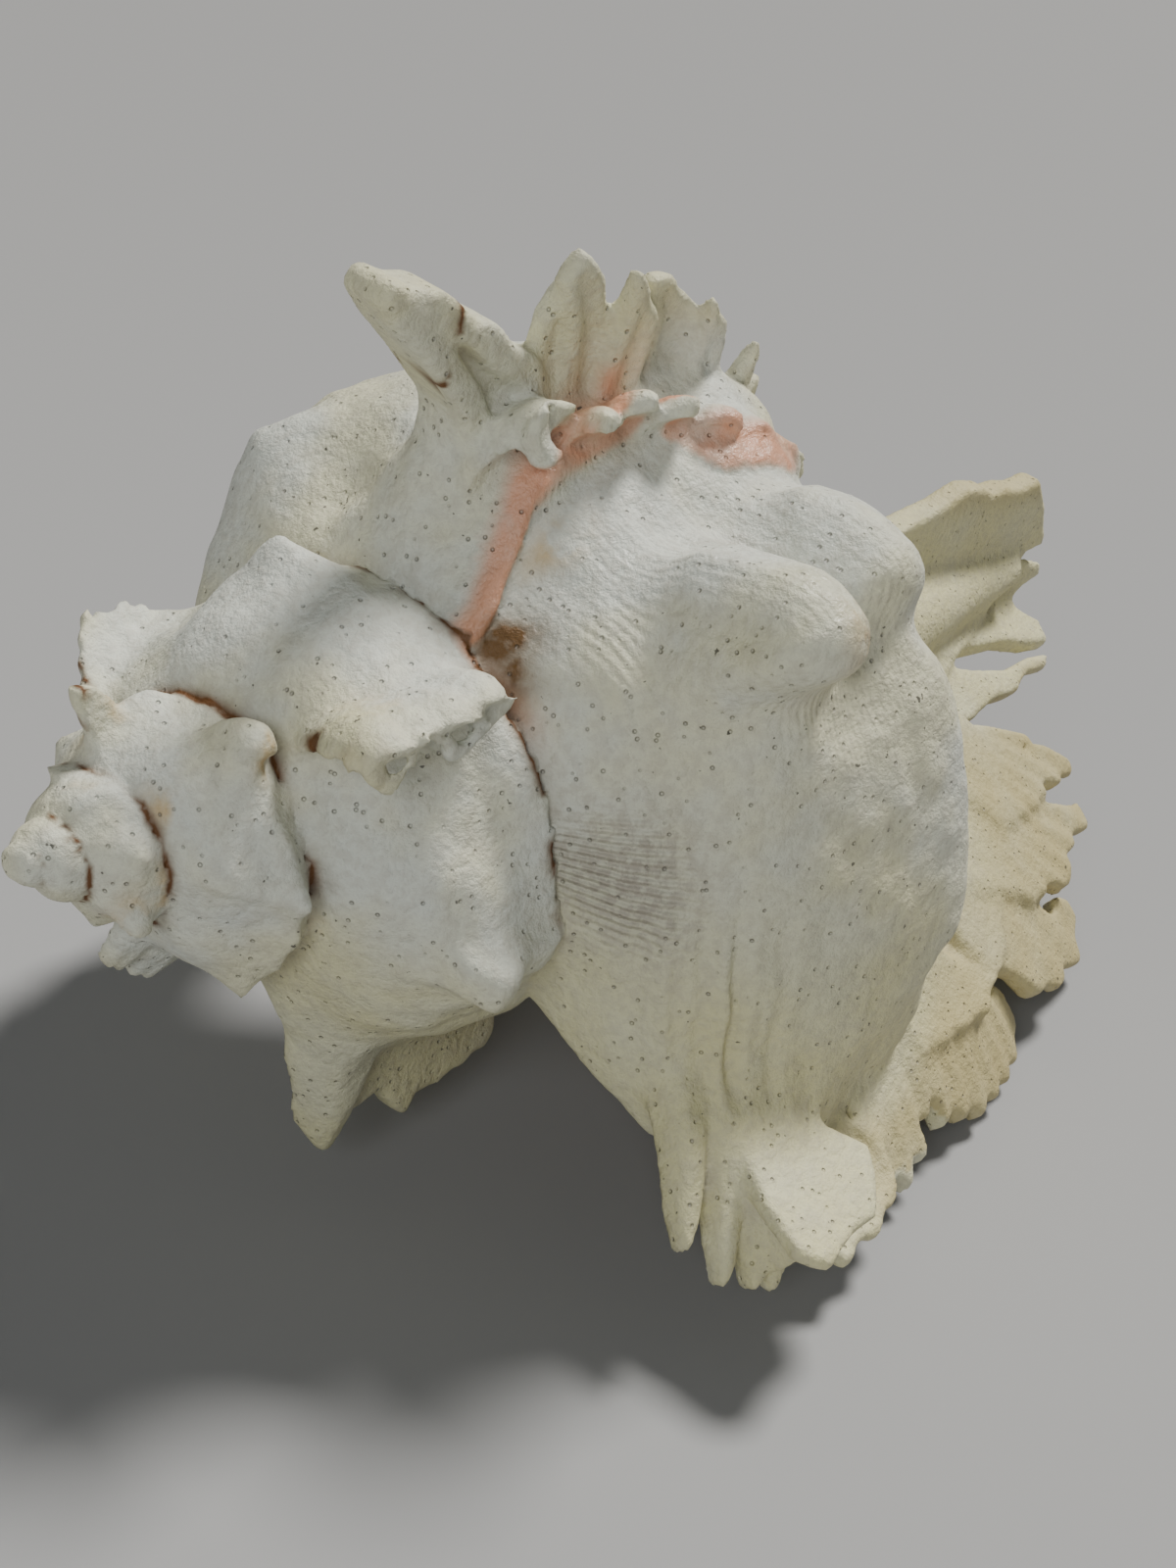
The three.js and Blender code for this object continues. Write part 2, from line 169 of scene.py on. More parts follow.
def shell_point(along, radius, turn):
    """A point in the axis frame from its real place along the axis, radius and turn."""
    from_down = np.radians(LIP_FROM_DOWN + turn)
    y, z = radius * np.sin(from_down), -radius * np.cos(from_down)
    return np.stack(np.broadcast_arrays(along, y, z), -1)


def turn_of(y, z):
    """Turn of a place about the axis, from -360 to 0."""
    return np.mod(np.degrees(np.arctan2(y, -z)) - LIP_FROM_DOWN, 360.0) - 360.0


def outline_radius(along):
    """Radius of the outline, by smooth steps between its points that never overshoot."""
    x, y = np.array(OUTLINE, float).T
    slopes = np.diff(y) / np.diff(x)
    before, after = slopes[:-1], slopes[1:]
    between = np.where(before * after > 0, 2 * before * after / (before + after), 0.0)
    tangents = np.concatenate([slopes[:1], between, slopes[-1:]])
    place = np.clip(along, x[0], x[-1])
    n = np.clip(np.searchsorted(x, place, side="right") - 1, 0, len(x) - 2)
    step = x[n + 1] - x[n]
    t = (place - x[n]) / step
    return (y[n] * (1 + 2 * t) * (1 - t) ** 2 + tangents[n] * step * t * (1 - t) ** 2
            + y[n + 1] * t * t * (3 - 2 * t) + tangents[n + 1] * step * t * t * (t - 1))


def whorl_place(u, base_turn):
    """Turn and along of the surface at a real place u, where base_turn is the last whorl's turn."""
    w = np.log(np.maximum(u, 0.1) / SUTURE) / math.log(GROWTH_PER_WHORL)
    n = np.clip(np.floor(w - base_turn / 360.0), -WHORLS, 0)
    turn = base_turn + 360.0 * n
    return turn, u / growth(turn)


def relief(turn, along):
    """Ridges, the hollows that follow them, knobs and the lip's flare, as added radius."""
    on_whorl = smoothstep(along, SUTURE, RELIEF_FULL)
    fades = np.where(turn > -360.0, 1.0 - smoothstep(along, *LAST_WHORL_FADE),
                     1.0 - smoothstep(along, *EARLIER_WHORL_FADE))
    lip_fade = LIP_FADE * smoothstep(along, *LIP_FADE_ALONG)
    low_crest = LOW_CREST * near(along, LOW_CREST_PLACE)
    added = np.zeros_like(along)
    for ridge in RIDGES:
        lean = 0.0 if ridge == 0 else RIDGE_LEAN * (along - RIDGE_LEAN_FROM)
        past = turn - ridge - lean
        height = RIDGE_HEIGHT * (1.0 - low_crest * (ridge == TOP_RIDGE))
        height = height * (1.0 - lip_fade * (ridge == 0))
        added += height * bell(past, np.where(past > 0, RIDGE_SPREADS[1], RIDGE_SPREADS[0]))
        if ridge != 0:
            added -= HOLLOW_DEPTH * bell(past - HOLLOW_PAST, HOLLOW_SPREAD)
    for knob_turn, knob_along, height in KNOBS:
        away = np.hypot((turn - knob_turn) / KNOB_TURN_SPREAD,
                        (along - knob_along) / KNOB_ALONG_SPREAD)
        added += height * np.exp(-away ** KNOB_SHARPNESS)
    added += LIP_FLARE * bell(turn, LIP_FLARE_SPREAD) * (1.0 - lip_fade)
    return added * on_whorl * fades


# Front edge of the pink band on the ridge on top: along, then turn. The surface rises by a step
# behind it, over this many degrees, and the step is lower past the second stretch along.
BAND_EDGE = [(44, -90), (48, -90), (53, -98), (57, -104), (66, -106.5), (74, -107), (79, -97),
             (90, -95), (104, -100)]
BAND_STEP = 2.8
BAND_RISE = 9.0
BAND_EDGE_WIDTH = 0.5
BAND_LOWER = 0.7
BAND_LOWER_ALONG = (60.0, 68.0)
BAND_TURNS = 60.0


def band_edge_turn(along):
    edge_along, edge_turn = zip(*BAND_EDGE)
    return np.interp(along, edge_along, edge_turn)


# Cords that run round the last whorl: spacing along, and height. The fine ones start and end over
# the two pairs of turns. The broad ones have heights for the whole last whorl, near the lip, and
# near the lip by the suture.
FINE_CORDS = (1.55, 0.11)
FINE_CORD_TURNS = ((-112.0, -96.0), (-70.0, -45.0))
PLEATS = (2.3, 0.5)
PLEAT_TURNS = (-46.0, -22.0)
PLEAT_PLACE = (56.0, 7.5)
BROAD_CORD_SPACING = 4.1
BROAD_CORD_HEIGHTS = (0.05, 0.06, 0.5)
BROAD_CORD_TURNS = (-48.0, -8.0)
BROAD_CORD_PLACE = (57.0, 7.0)
CORDS_FULL = 52.0


def wave(along, spacing, bend):
    """A wave along the axis; bend shifts its phase, so that the cords aren't quite even."""
    return np.cos(2 * math.pi * along / spacing + bend)


def cords(turn, along):
    """Fine spiral cords, pleats near the lip and broad cords, as added radius."""
    fine = wave(along, FINE_CORDS[0], 1.6 * np.sin(along * 0.9))
    broad = wave(along, BROAD_CORD_SPACING, 0.8 * np.sin(along * 0.31 + 1.0))
    pleats = wave(along, PLEATS[0], 0.6 * np.sin(0.08 * turn))
    on_last = smoothstep(turn, *FINE_CORD_TURNS[0])
    near_lip = smoothstep(turn, *BROAD_CORD_TURNS)
    near_suture = near(along, BROAD_CORD_PLACE)
    uneven = 0.5 + 0.5 * np.sin(turn * 0.21 + along * 0.5) * np.sin(turn * 0.13 - along * 0.23)
    added = FINE_CORDS[1] * fine * on_last * uneven
    added = added * (1.0 - smoothstep(turn, *FINE_CORD_TURNS[1]))
    added += PLEATS[1] * pleats * near(along, PLEAT_PLACE) * smoothstep(turn, *PLEAT_TURNS)
    everywhere, at_lip, by_suture = BROAD_CORD_HEIGHTS
    broad_height = everywhere * on_last + (at_lip + by_suture * near_suture) * near_lip
    return added + broad_height * broad


# Uneven lumps of the whole surface: height, size, seed, and the radius where they are full
LUMPS = [(0.35, 14.0, 3, 30.0), (0.12, 5.0, 4, 20.0)]
LEAST_LUMPS = 0.1


def body_radius(u, base_turn):
    """Real radius of the body at a real place u, where base_turn is the last whorl's turn."""
    turn, along = whorl_place(u, base_turn)
    added = relief(turn, along)
    past_edge = turn - band_edge_turn(along)
    raised = bell(np.minimum(past_edge, 0.0), BAND_RISE)
    raised = raised * (1.0 - smoothstep(past_edge, -BAND_EDGE_WIDTH, BAND_EDGE_WIDTH))
    step = BAND_STEP * (1.0 - BAND_LOWER * smoothstep(along, *BAND_LOWER_ALONG))
    added += step * raised * (np.abs(turn - TOP_RIDGE) < BAND_TURNS)
    added += cords(turn, along) * smoothstep(along, SUTURE, CORDS_FULL)
    depth, width = SUTURE_GROOVE
    groove = depth * bell(along - SUTURE, width) * (along >= SUTURE)
    radius = growth(turn) * (outline_radius(along) + added - groove)
    points = shell_point(u, radius, base_turn).astype(np.float32)
    for height, size, seed, full in LUMPS:
        radius = radius + height * waves(points, size, seed) * np.clip(radius / full, LEAST_LUMPS, 1)
    return np.where(along > NEXT_SUTURE, np.maximum(radius, COLUMELLA_RADIUS), radius)


def shared_to_axis(points):
    """From the frame shared with the CAD solids, in millimetres, to the axis frame."""
    x, y, z = (points - APEX).T
    c, s = math.cos(AXIS_DIP), math.sin(AXIS_DIP)
    return np.stack([x * c - z * s, y, x * s + z * c], -1)


def axis_to_shared(points):
    x, y, z = points.T
    c, s = math.cos(AXIS_DIP), math.sin(AXIS_DIP)
    return np.stack([x * c + z * s, y, -x * s + z * c], -1) + APEX


# The grid, in the axis frame: it covers the frame's box with a margin
corners = shared_to_axis(np.array(list(itertools.product(*zip(*CAD_BOX)))) / MM)
LOW = corners.min(0) - GRID_MARGIN
HIGH = corners.max(0) + GRID_MARGIN
axes = [np.arange(LOW[i], HIGH[i], GRID_STEP, dtype=np.float32) for i in range(3)]
SHAPE = tuple(len(axis) for axis in axes)
GRID_X, GRID_Y, GRID_Z = axes[0][:, None, None], axes[1][None, :, None], axes[2][None, None, :]
column_y, column_z = np.meshgrid(axes[1], axes[2], indexing="ij")
COLUMN_RADIUS = np.hypot(column_y, column_z)
COLUMN_TURN = turn_of(column_y, column_z)

# The body's radius is worked out in a table of turns, which runs past the lip at both ends, so
# that the whorls overlap there. Slopes steeper than the limit count as that steep.
TABLE_SPACING = 0.25
TABLE_ENDS = (-395.0, 35.0)
OVERLAP = 30.0
SLOPE_LIMIT = 2.0
LIP_ROUNDING = 1.6


def body_field():
    """Distance to the spiral body on the whole grid, negative inside."""
    turns = np.arange(*TABLE_ENDS, TABLE_SPACING)
    u = axes[0].astype(np.float64)
    table = body_radius(u[:, None], turns[None, :]).astype(np.float32)
    slope_u = np.clip(np.gradient(table, GRID_STEP, axis=0), -SLOPE_LIMIT, SLOPE_LIMIT)
    slope_turn = np.gradient(table, math.radians(TABLE_SPACING), axis=1) / np.maximum(table, 2.0)
    slope_turn = np.clip(slope_turn, -SLOPE_LIMIT, SLOPE_LIMIT)
    level = 1.0 / np.sqrt(1.0 + slope_u ** 2 + slope_turn ** 2)
    radius, turn = COLUMN_RADIUS.ravel(), COLUMN_TURN.ravel()
    past_lip = radius * np.sin(np.radians(turn))

    def against(columns_turn, use):
        place = (columns_turn[use] - turns[0]) / TABLE_SPACING
        low = place.astype(int)
        part = (place - low).astype(np.float32)
        surface = table[:, low] * (1 - part) + table[:, low + 1] * part
        return (radius[use][None, :] - surface) * level[:, low]

    field = against(turn, np.ones(len(turn), bool))
    before = turn > -OVERLAP
    field[:, before] = blend_max(field[:, before], past_lip[before][None, :], LIP_ROUNDING)
    field[:, before] = np.minimum(field[:, before], against(turn - 360.0, before))
    after = turn < OVERLAP - 360.0
    lip = blend_max(against(turn + 360.0, after), past_lip[after][None, :], LIP_ROUNDING)
    field[:, after] = np.minimum(field[:, after], lip)
    field = field.reshape(SHAPE)
    field = field + NECK_TAPER * np.maximum(GRID_X - NECK_TAPER_START, 0.0)
    return blend_max(np.maximum(field, TIP_BREAK - GRID_X), GRID_X - NECK_END, NECK_ROUNDING)


# The canal: along, lift towards CANAL_BEND_TURN, half sizes across and along the lift. The slot
# that opens it runs a little past its middle.
CANAL_BEND_TURN = -130
CANAL_LINE = [(96, 0, 17, 17), (122, 0, 14, 12), (140, 1, 11, 8), (160, 3, 8, 6), (178, 5, 6, 4)]
CANAL_END_ROUNDING = 2.0
SLOT_TURN = 62
SLOT_WIDTH = 4.0
SLOT_PAST_MIDDLE = 2.0


def canal_fields():
    """Distance to the canal, and to the slot that opens it, on the whole grid."""
    stations, lifts, widths, heights = zip(*CANAL_LINE)
    lift, across, tall = (np.interp(GRID_X, stations, row) for row in (lifts, widths, heights))
    up = shell_point(0, 1, CANAL_BEND_TURN)
    side = shell_point(0, 1, CANAL_BEND_TURN + 90)
    above = (GRID_Y * up[1] + GRID_Z * up[2]) - lift
    beside = GRID_Y * side[1] + GRID_Z * side[2]
    ring = np.sqrt((beside / across) ** 2 + (above / tall) ** 2)
    canal = ((ring - 1.0) * np.minimum(across, tall)).astype(np.float32)
    canal = blend_max(canal, GRID_X - stations[-1], CANAL_END_ROUNDING)
    canal = np.maximum(canal, stations[0] - GRID_X)
    out = shell_point(0, 1, SLOT_TURN)
    flank = shell_point(0, 1, SLOT_TURN + 90)
    from_middle = (GRID_Y - up[1] * lift, GRID_Z - up[2] * lift)
    outward = from_middle[0] * out[1] + from_middle[1] * out[2]
    sideways = from_middle[0] * flank[1] + from_middle[1] * flank[2]
    slot = np.maximum(np.abs(sideways) - SLOT_WIDTH / 2, -SLOT_PAST_MIDDLE - outward)
    slot = np.maximum(slot, stations[0] - GRID_X).astype(np.float32)
    return canal, slot


# The hollow of the last whorl, at the lip's size: along, radius. It starts at a turn with a
# rounded end, and opens past the lip.
HOLLOW_OUTLINE = [
    (53.5, 31), (58, 37), (66, 43), (76, 45), (86, 45), (96, 41), (105, 33),
    (111, 25), (112, 19), (104, 17), (92, 17), (80, 18), (70, 20), (60, 25),
]
HOLLOW_START = -165.0
HOLLOW_START_ROUNDING = 4.0
HOLLOW_END = 8.0
HOLLOW_LEAST_RADIUS = COLUMELLA_RADIUS + 1.5
HOLLOW_EDGE_ROUNDING = 1.0
HOLLOW_TURNS = (HOLLOW_START - 12.0, 25.0)
HOLLOW_REACH = 62.0
FAR_AWAY = 50.0


def outline_distance(along, radius, outline):
    """Distance in a half-plane to a closed outline, negative inside."""
    nearest = np.full(along.shape, 1e9, np.float32)
    inside = np.zeros(along.shape, bool)
    for (ax, ay), (bx, by) in zip(outline, outline[1:] + outline[:1]):
        dx, dy = bx - ax, by - ay
        t = np.clip(((along - ax) * dx + (radius - ay) * dy) / (dx * dx + dy * dy), 0, 1)
        nearest = np.minimum(nearest, np.hypot(along - ax - t * dx, radius - ay - t * dy))
        crosses = ((ay > radius) != (by > radius)) & (
            along < ax + (radius - ay) * dx / (dy if dy else 1e-9))
        inside ^= crosses
    return np.where(inside, -nearest, nearest)


def hollow_field():
    """Distance to the hollow on the whole grid, worked out only near it."""
    turn = np.where(COLUMN_TURN < OVERLAP - 360.0, COLUMN_TURN + 360.0, COLUMN_TURN)
    use = (turn > HOLLOW_TURNS[0]) & (turn < HOLLOW_TURNS[1]) & (COLUMN_RADIUS < HOLLOW_REACH)
    turn, radius = turn[use], COLUMN_RADIUS[use][None, :]
    scale = growth(np.minimum(turn, 0.0))[None, :]
    arc = np.radians(radius)
    field = np.full(SHAPE, FAR_AWAY, np.float32)
    d = outline_distance(axes[0][:, None] / scale, radius / scale, HOLLOW_OUTLINE)
    d = blend_max(d * scale, HOLLOW_LEAST_RADIUS - radius, HOLLOW_EDGE_ROUNDING)
    d = blend_max(d, (HOLLOW_START - turn) * arc, HOLLOW_START_ROUNDING)
    d = np.maximum(d, (turn - HOLLOW_END) * arc)
    field[:, use] = d
    return field


# Fronds. Each grows from root to tip and bows out; its edges fold forward, the way of growth.
# root is (turn, along), or (turn, real along, real radius) on the canal; tip is (turn, real along,
# real radius); widths are those at the root, the middle and the tip; fingers end the frond, and
# notch is how deep the gaps between them are; soft rounds its edges, and reach its root.
FROND_SINK = 3.5


def frond(root, tip, widths, bow=(0, 0), **form):
    return dict(root=root, tip=tip, widths=widths, bow=bow, **form)


LEAF = dict(fingers=1, reach=1.4)
PLEAT = dict(thick=5, fold=0, rib=0.2, edge=0, **LEAF)
KNOB = dict(thick=16, fold=0, rib=0, fingers=1, edge=0, notch=0, soft=6)
SCALE = dict(thick=2.4, fold=0.4, **LEAF)
FLAP = dict(thick=3, fold=0.3, **LEAF)
FRONDS = [
    # The lip's four pleats
    *[frond((-5, along), tip, widths, **PLEAT) for along, tip, widths in [
        (55, (0, 48.5, 59), (6, 5, 3)), (58, (1, 52, 64), (6, 5, 3)),
        (61, (1, 55.5, 66), (6, 5, 3.5)), (64, (2, 59, 67), (6, 6, 4))]],
    # The double knob behind the lip
    frond((-65, 64), (-67, 56.5, 56), (16, 13, 11), reach=4, **KNOB),
    frond((-71, 82), (-73, 75.5, 53.5), (17, 14, 12), reach=5, **KNOB),
    # The ridge on top: a leaf that bends over, and pink scales
    frond((-114, 60), (-104, 47.5, 40), (12, 9, 7), (0, 6), thick=3.5, fold=0.3, **LEAF),
    *[frond(root, tip, widths, (0, bow), **SCALE) for root, tip, widths, bow in [
        ((-111, 66), (-104, 54, 43.5), (7, 6, 4), 2), ((-110, 71), (-104, 58.5, 45.5), (7, 6, 4), 2),
        ((-108, 76), (-102, 63, 46), (7, 6, 3.5), 1), ((-106, 81), (-100, 69, 45), (7, 6, 3.5), 1),
        ((-104, 87), (-98, 76, 42.5), (7, 5.5, 3), 1), ((-102, 93), (-98, 84, 39), (6, 5, 3), 1),
        ((-104, 98), (-101, 91, 35), (6, 5, 3), 1)]],
    # The ridge at the back
    frond((-223, 54), (-228, 42, 45), (13, 9, 4), (-3, 2), thick=4.5, reach=2),
    frond((-222, 63), (-238, 48, 50), (10, 10, 4), (0, 3), thick=3.5, reach=2),
    frond((-222, 72), (-252, 58, 54), (11, 10, 4), (0, 7), thick=4, reach=2),
    frond((-224, 84), (-270, 72, 58.6), (14, 11, 4), (0, 13), thick=5, reach=2),
    frond((-222, 98), (-250, 88, 46), (12, 10, 4), (0, 6), thick=4, reach=2),
    # The ridge towards the lip's side: a spine that reaches the floor
    frond((-319, 65), (-314, 37, 42.5), (12, 6.5, 5.5), thick=5.5, fold=0.6, edge=0, **LEAF),
    # The curled ruffle of the whorl before the last: a hook, then flaps that arch forward
    frond((-441, 57), (-423, 24, 26), (9, 8, 3.5), (-4, 8), thick=3.4, fold=0.4, **LEAF),
    frond((-441, 59), (-427, 27, 27), (8, 8, 7), (0, 7), **FLAP),
    frond((-441, 66), (-426.5, 31, 27.5), (8, 8, 7), (0, 7), **FLAP),
    frond((-442, 74), (-430, 35, 27.5), (8, 7, 6), (0, 6), **FLAP),
    # The ridges of the spire
    frond((-546, 57), (-543, 24, 24.5), (9, 7, 4), thick=4, reach=1.4),
    frond((-546, 70), (-543, 29, 24), (10, 8, 5), thick=4, reach=1.4),
    frond((-651, 58), (-648, 17.5, 20), (7, 6, 4), thick=4, reach=1.4),
    frond((-652, 70), (-648, 22, 23), (8, 7, 5), thick=4, reach=1.4),
    frond((-862, 60), (-860, 10, 14.5), (5, 4, 2.5), thick=5, fold=0.4, **LEAF),
    frond((-803, 76), (-801, 19.5, 17.5), (5, 4.5, 4), thick=9, fold=0.1, **LEAF),
    frond((-1075, 68), (-1073, 11, 10), (4, 3.5, 2.5), thick=6, fold=0.1, **LEAF),
    # The canal: the broken fringe on the side away from the lip
    *[frond((-212, *root), (-222, *tip), widths, (-2, 4), reach=2) for root, tip, widths in [
        ((128, 14), (141, 31), (12, 9, 4)), ((146, 12), (160, 27), (11, 8, 4)),
        ((162, 12), (174, 24), (10, 7, 4))]],
]


# Plates. Each lies in the half-plane of its turn. Its outline is (real along, real radius); ribs
# run out from the focus, and rib and frill are what they do to the faces and the edge; scoop
# hollows the front, or the back if it is negative, inside a rim; curl bends the far edge forward,
# and lean moves the near end back.
FINGER = dict(ribs=40, rib=0.8, thick=4.2, scoop=0.6)
TALL_LEAF = dict(thick=3, ribs=24, curl=2, reach=1.6, frill=0.25)


def plate(turn, outline, focus, **form):
    return dict(turn=turn, outline=outline, focus=focus, **form)


PLATES = [
    # The lip: the sheet that carries the fans, then the fans from the cup to the canal
    plate(-3, [(92, 40), (96, 56), (112, 56), (121, 51), (127, 43), (134, 34), (142, 21), (146, 14),
        (158, 8), (170, 3), (150, 0), (110, 10)], (100, 20), curl=0, scoop=0, rib=0.8, ribs=36,
        thick=4, reach=4),
    plate(-1, [(137, 16), (142, 21), (152, 23), (161, 24), (160, 26), (156, 26.5), (165, 27),
        (174, 30), (173, 33), (158, 33), (151, 35), (136, 36), (126, 28)], (122, 14), ribs=50,
        rib=2.2, curl=3, lean=8),
    plate(1, [(128, 28), (136, 32), (151, 35), (163, 36), (174, 36.5), (176, 39), (171, 41),
        (160, 42), (153, 45), (152, 48), (147, 46.5), (144, 46), (137, 47), (112, 38), (118, 28)],
        (116, 22), ribs=50, rib=2.4, curl=5, lean=8),
    plate(2, [(122, 40), (132, 44), (146, 49), (153, 48.5), (158, 49), (160, 52), (156, 55),
        (152, 57.5), (146, 58), (142, 57.5), (137, 59), (128, 57), (114, 48), (108, 38), (116, 32)],
        (108, 28), ribs=40, rib=1.6, curl=6, scoop=0.7, lean=9),
    plate(2, [(108, 46), (115, 53), (122, 54.5), (125, 55), (128, 58.5), (127, 63), (124, 64),
        (120, 65), (117, 65.5), (112, 66), (108, 66.5), (103, 65), (99, 64.5), (93, 56), (90, 42),
        (104, 36)], (98, 32), ribs=46, rib=1.7, curl=4, scoop=0.5, lean=11),
    plate(0, [(78, 42), (81, 58), (80, 64), (84, 66.5), (88, 68), (90, 66.3), (94, 66), (93, 63),
        (98, 61), (100, 42)], (88, 36), ribs=44, rib=1.6, curl=2, lean=7),
    # The cup: a scoop of two walls, the far one seen past the rim of the near one
    plate(-8, [(58, 44), (57, 54), (54, 60), (53.5, 66), (56, 68.5), (61, 67.8), (66, 67.5),
        (69.5, 64), (71.5, 61), (68, 56.5), (66.8, 52), (64, 54), (63, 44)], (58, 40), ribs=12,
        curl=-1.5, thick=2.6, scoop=1.2, rib=0.25, frill=0.3),
    plate(-2, [(66, 48), (72, 50), (77, 54), (81, 58), (84, 61.5), (83, 65), (80, 68.5), (75, 69.5),
        (68, 70), (64, 66), (62, 50)], (70, 42), ribs=26, curl=1, thick=2.6, scoop=-0.8),
    plate(-5, [(56, 50), (55.5, 60), (57, 66), (62, 66.5), (63, 60), (62, 50)], (58, 40), thick=6,
        curl=0, scoop=0, ribs=26, rib=1.0),
    # The canal: two long fingers, and the flat jagged plate beyond them
    plate(-2, [(138, -2), (156, -1), (172, 1), (182, 3.5), (190, 7), (187, 11), (180, 10.5),
        (172, 9), (160, 8.5), (140, 9)], (120, 4), **FINGER),
    plate(2, [(138, 5), (150, 9), (160, 11.5), (170, 13), (180, 13), (186, 13.5), (184, 15.5),
        (178, 15.5), (170, 17), (163, 17), (158, 18.5), (138, 20)], (120, 4), **FINGER),
    plate(-117, [(118, 12), (128, 14.5), (135, 17), (146, 20), (152, 22.5), (157, 22), (160, 20.5),
        (163, 21), (168, 20), (173, 21), (176, 18.5), (180, 16), (186, 11), (188, 8), (182, 7),
        (190, 5), (191, 2), (186, 0.5), (182, -2), (150, -4), (120, 0)], (110, 0), ribs=14,
        curl=1.0, scoop=0, thick=4.5, frill=0.7, rib=0.7),
    # The ridge on top: the grooved spine, tall leaves and spikes
    plate(-120, [(45, 30), (44, 36), (41.5, 41), (36, 45.5), (31, 49), (28.5, 51.5), (30, 53.5),
        (34, 53), (42, 50), (49, 46.5), (54, 43), (57, 40), (58, 34)], (62, 24), thick=8, curl=1,
        scoop=2.6, rim=2.6, ribs=60, rib=0.35, reach=3, frill=0.35),
    plate(-118, [(50, 38), (50.5, 45), (50, 50), (52.2, 54), (54, 49), (55.5, 43), (57, 38)],
        (56, 34), thick=2.8, ribs=20, curl=1, reach=1.6, frill=0.2),
    plate(-117, [(54, 36), (54.5, 44), (53, 49), (49, 54), (50.5, 57), (55.5, 54.5), (58.5, 50),
        (60.5, 43), (62, 36)], (60, 30), **TALL_LEAF),
    plate(-115, [(58, 36), (58.5, 44), (58.5, 50), (57, 56), (60, 54.5), (62.8, 51), (64.5, 45),
        (64.5, 36)], (62, 30), **TALL_LEAF),
    plate(-117, [(65, 36), (66, 43), (65, 49), (61, 54.5), (65.5, 54.8), (70.5, 51), (73.5, 44),
        (75, 36)], (70, 30), **TALL_LEAF),
    plate(-114, [(70, 36), (71, 43), (70.5, 48), (69, 54.5), (73, 51), (75.5, 46), (77, 36)],
        (73, 30), **TALL_LEAF),
    plate(-115, [(77, 32), (78, 40), (80.5, 43), (82, 48), (83.5, 43), (86, 44), (87, 38), (90, 36),
        (92, 37.5), (92, 30)], (84, 26), thick=2.8, ribs=22, curl=1.5, reach=1.6, frill=0.2),
    # The low toothed wall beside the spine that reaches the floor
    plate(-317, [(38, 32), (40.5, 39), (44, 39), (46, 41.5), (48.5, 43), (50, 40.5), (54, 42),
        (56, 40), (62, 40), (64, 32)], (48, 22), thick=4, ribs=16, curl=0, scoop=0.6),
    # Scalloped edges of the whorls
    plate(-381, [(32, 22), (32.5, 29), (35, 31.5), (38, 31), (42, 29.5), (48, 28.5), (51, 25),
        (50, 18)], (42, 10), thick=5, curl=0.5, scoop=-0.6, ribs=20, reach=3),
]


def surface_radius(turn, along):
    """Plain radius of the body, where a frond is rooted."""
    turn = np.array([float(turn)])
    along = np.array([float(along)])
    return float((growth(turn) * (outline_radius(along) + relief(turn, along)))[0])


def bezier(points, t):
    a, b, c = points
    t = np.asarray(t)[..., None]
    return a * (1 - t) ** 2 + b * 2 * t * (1 - t) + c * t * t


def grid_part(lowest, highest):
    """The part of the grid between two corners: its slices, and the x, y and z of its cells."""
    low = np.maximum(((lowest - LOW) / GRID_STEP).astype(int), 0)
    high = np.minimum(((highest - LOW) / GRID_STEP).astype(int), SHAPE)
    box = tuple(slice(first, last) for first, last in zip(low, high))
    return box, np.meshgrid(*[axes[i][box[i]] for i in range(3)], indexing="ij")


# A frond's line has this many points, and is held to run on past its ends by so many of its steps
FROND_POINTS = 11
FROND_RUN_ON = 9.0
FROND_ROOT_PAST = 6.0
# Shares of root and tip in the place of its middle and in its turn
MIDDLE_SHARES = (0.55, 0.45)
MIDDLE_TURN_SHARES = (0.6, 0.4)
# How its form changes from root to tip
TIP_THINNING = 0.45
FOLD_WIDTH = 1.3
RIBS_START = (0.0, 0.4)
EDGE_WAVES = 3.5


def place_on_line(points, line):
    """Share of the line at the place nearest to each point; it goes past 0 and 1 at the ends."""
    pieces = len(line) - 1
    nearest = np.full(len(points), 1e9, np.float32)
    where = np.zeros(len(points), np.float32)
    for n in range(pieces):
        a, b = line[n].astype(np.float32), line[n + 1].astype(np.float32)
        step = b - a
        along = ((points - a) @ step) / float(step @ step)
        first = -FROND_RUN_ON if n == 0 else 0.0
        last = FROND_RUN_ON if n == pieces - 1 else 1.0
        held = np.clip(along, first, last)
        away = points - a - held[:, None] * step
        distance = np.einsum("ij,ij->i", away, away)
        closer = distance < nearest
        nearest = np.where(closer, distance, nearest)
        where = np.where(closer, (n + held) / pieces, where)
    return where


def frond_line(root, tip, bow):
    """Root, middle and tip of a frond in the axis frame."""
    scale = growth(root[0])
    on_canal = len(root) > 2
    along = root[1] if on_canal else root[1] * scale
    radius = root[2] if on_canal else surface_radius(root[0], root[1])
    of_root, of_tip = MIDDLE_SHARES
    turn_of_root, turn_of_tip = MIDDLE_TURN_SHARES
    start = shell_point(along, radius - FROND_SINK * math.sqrt(scale), root[0])
    middle = shell_point(along * of_root + tip[1] * of_tip + bow[0],
                         radius * of_root + tip[2] * of_tip + bow[1],
                         root[0] * turn_of_root + tip[0] * turn_of_tip)
    return start, middle, shell_point(tip[1], tip[2], tip[0])


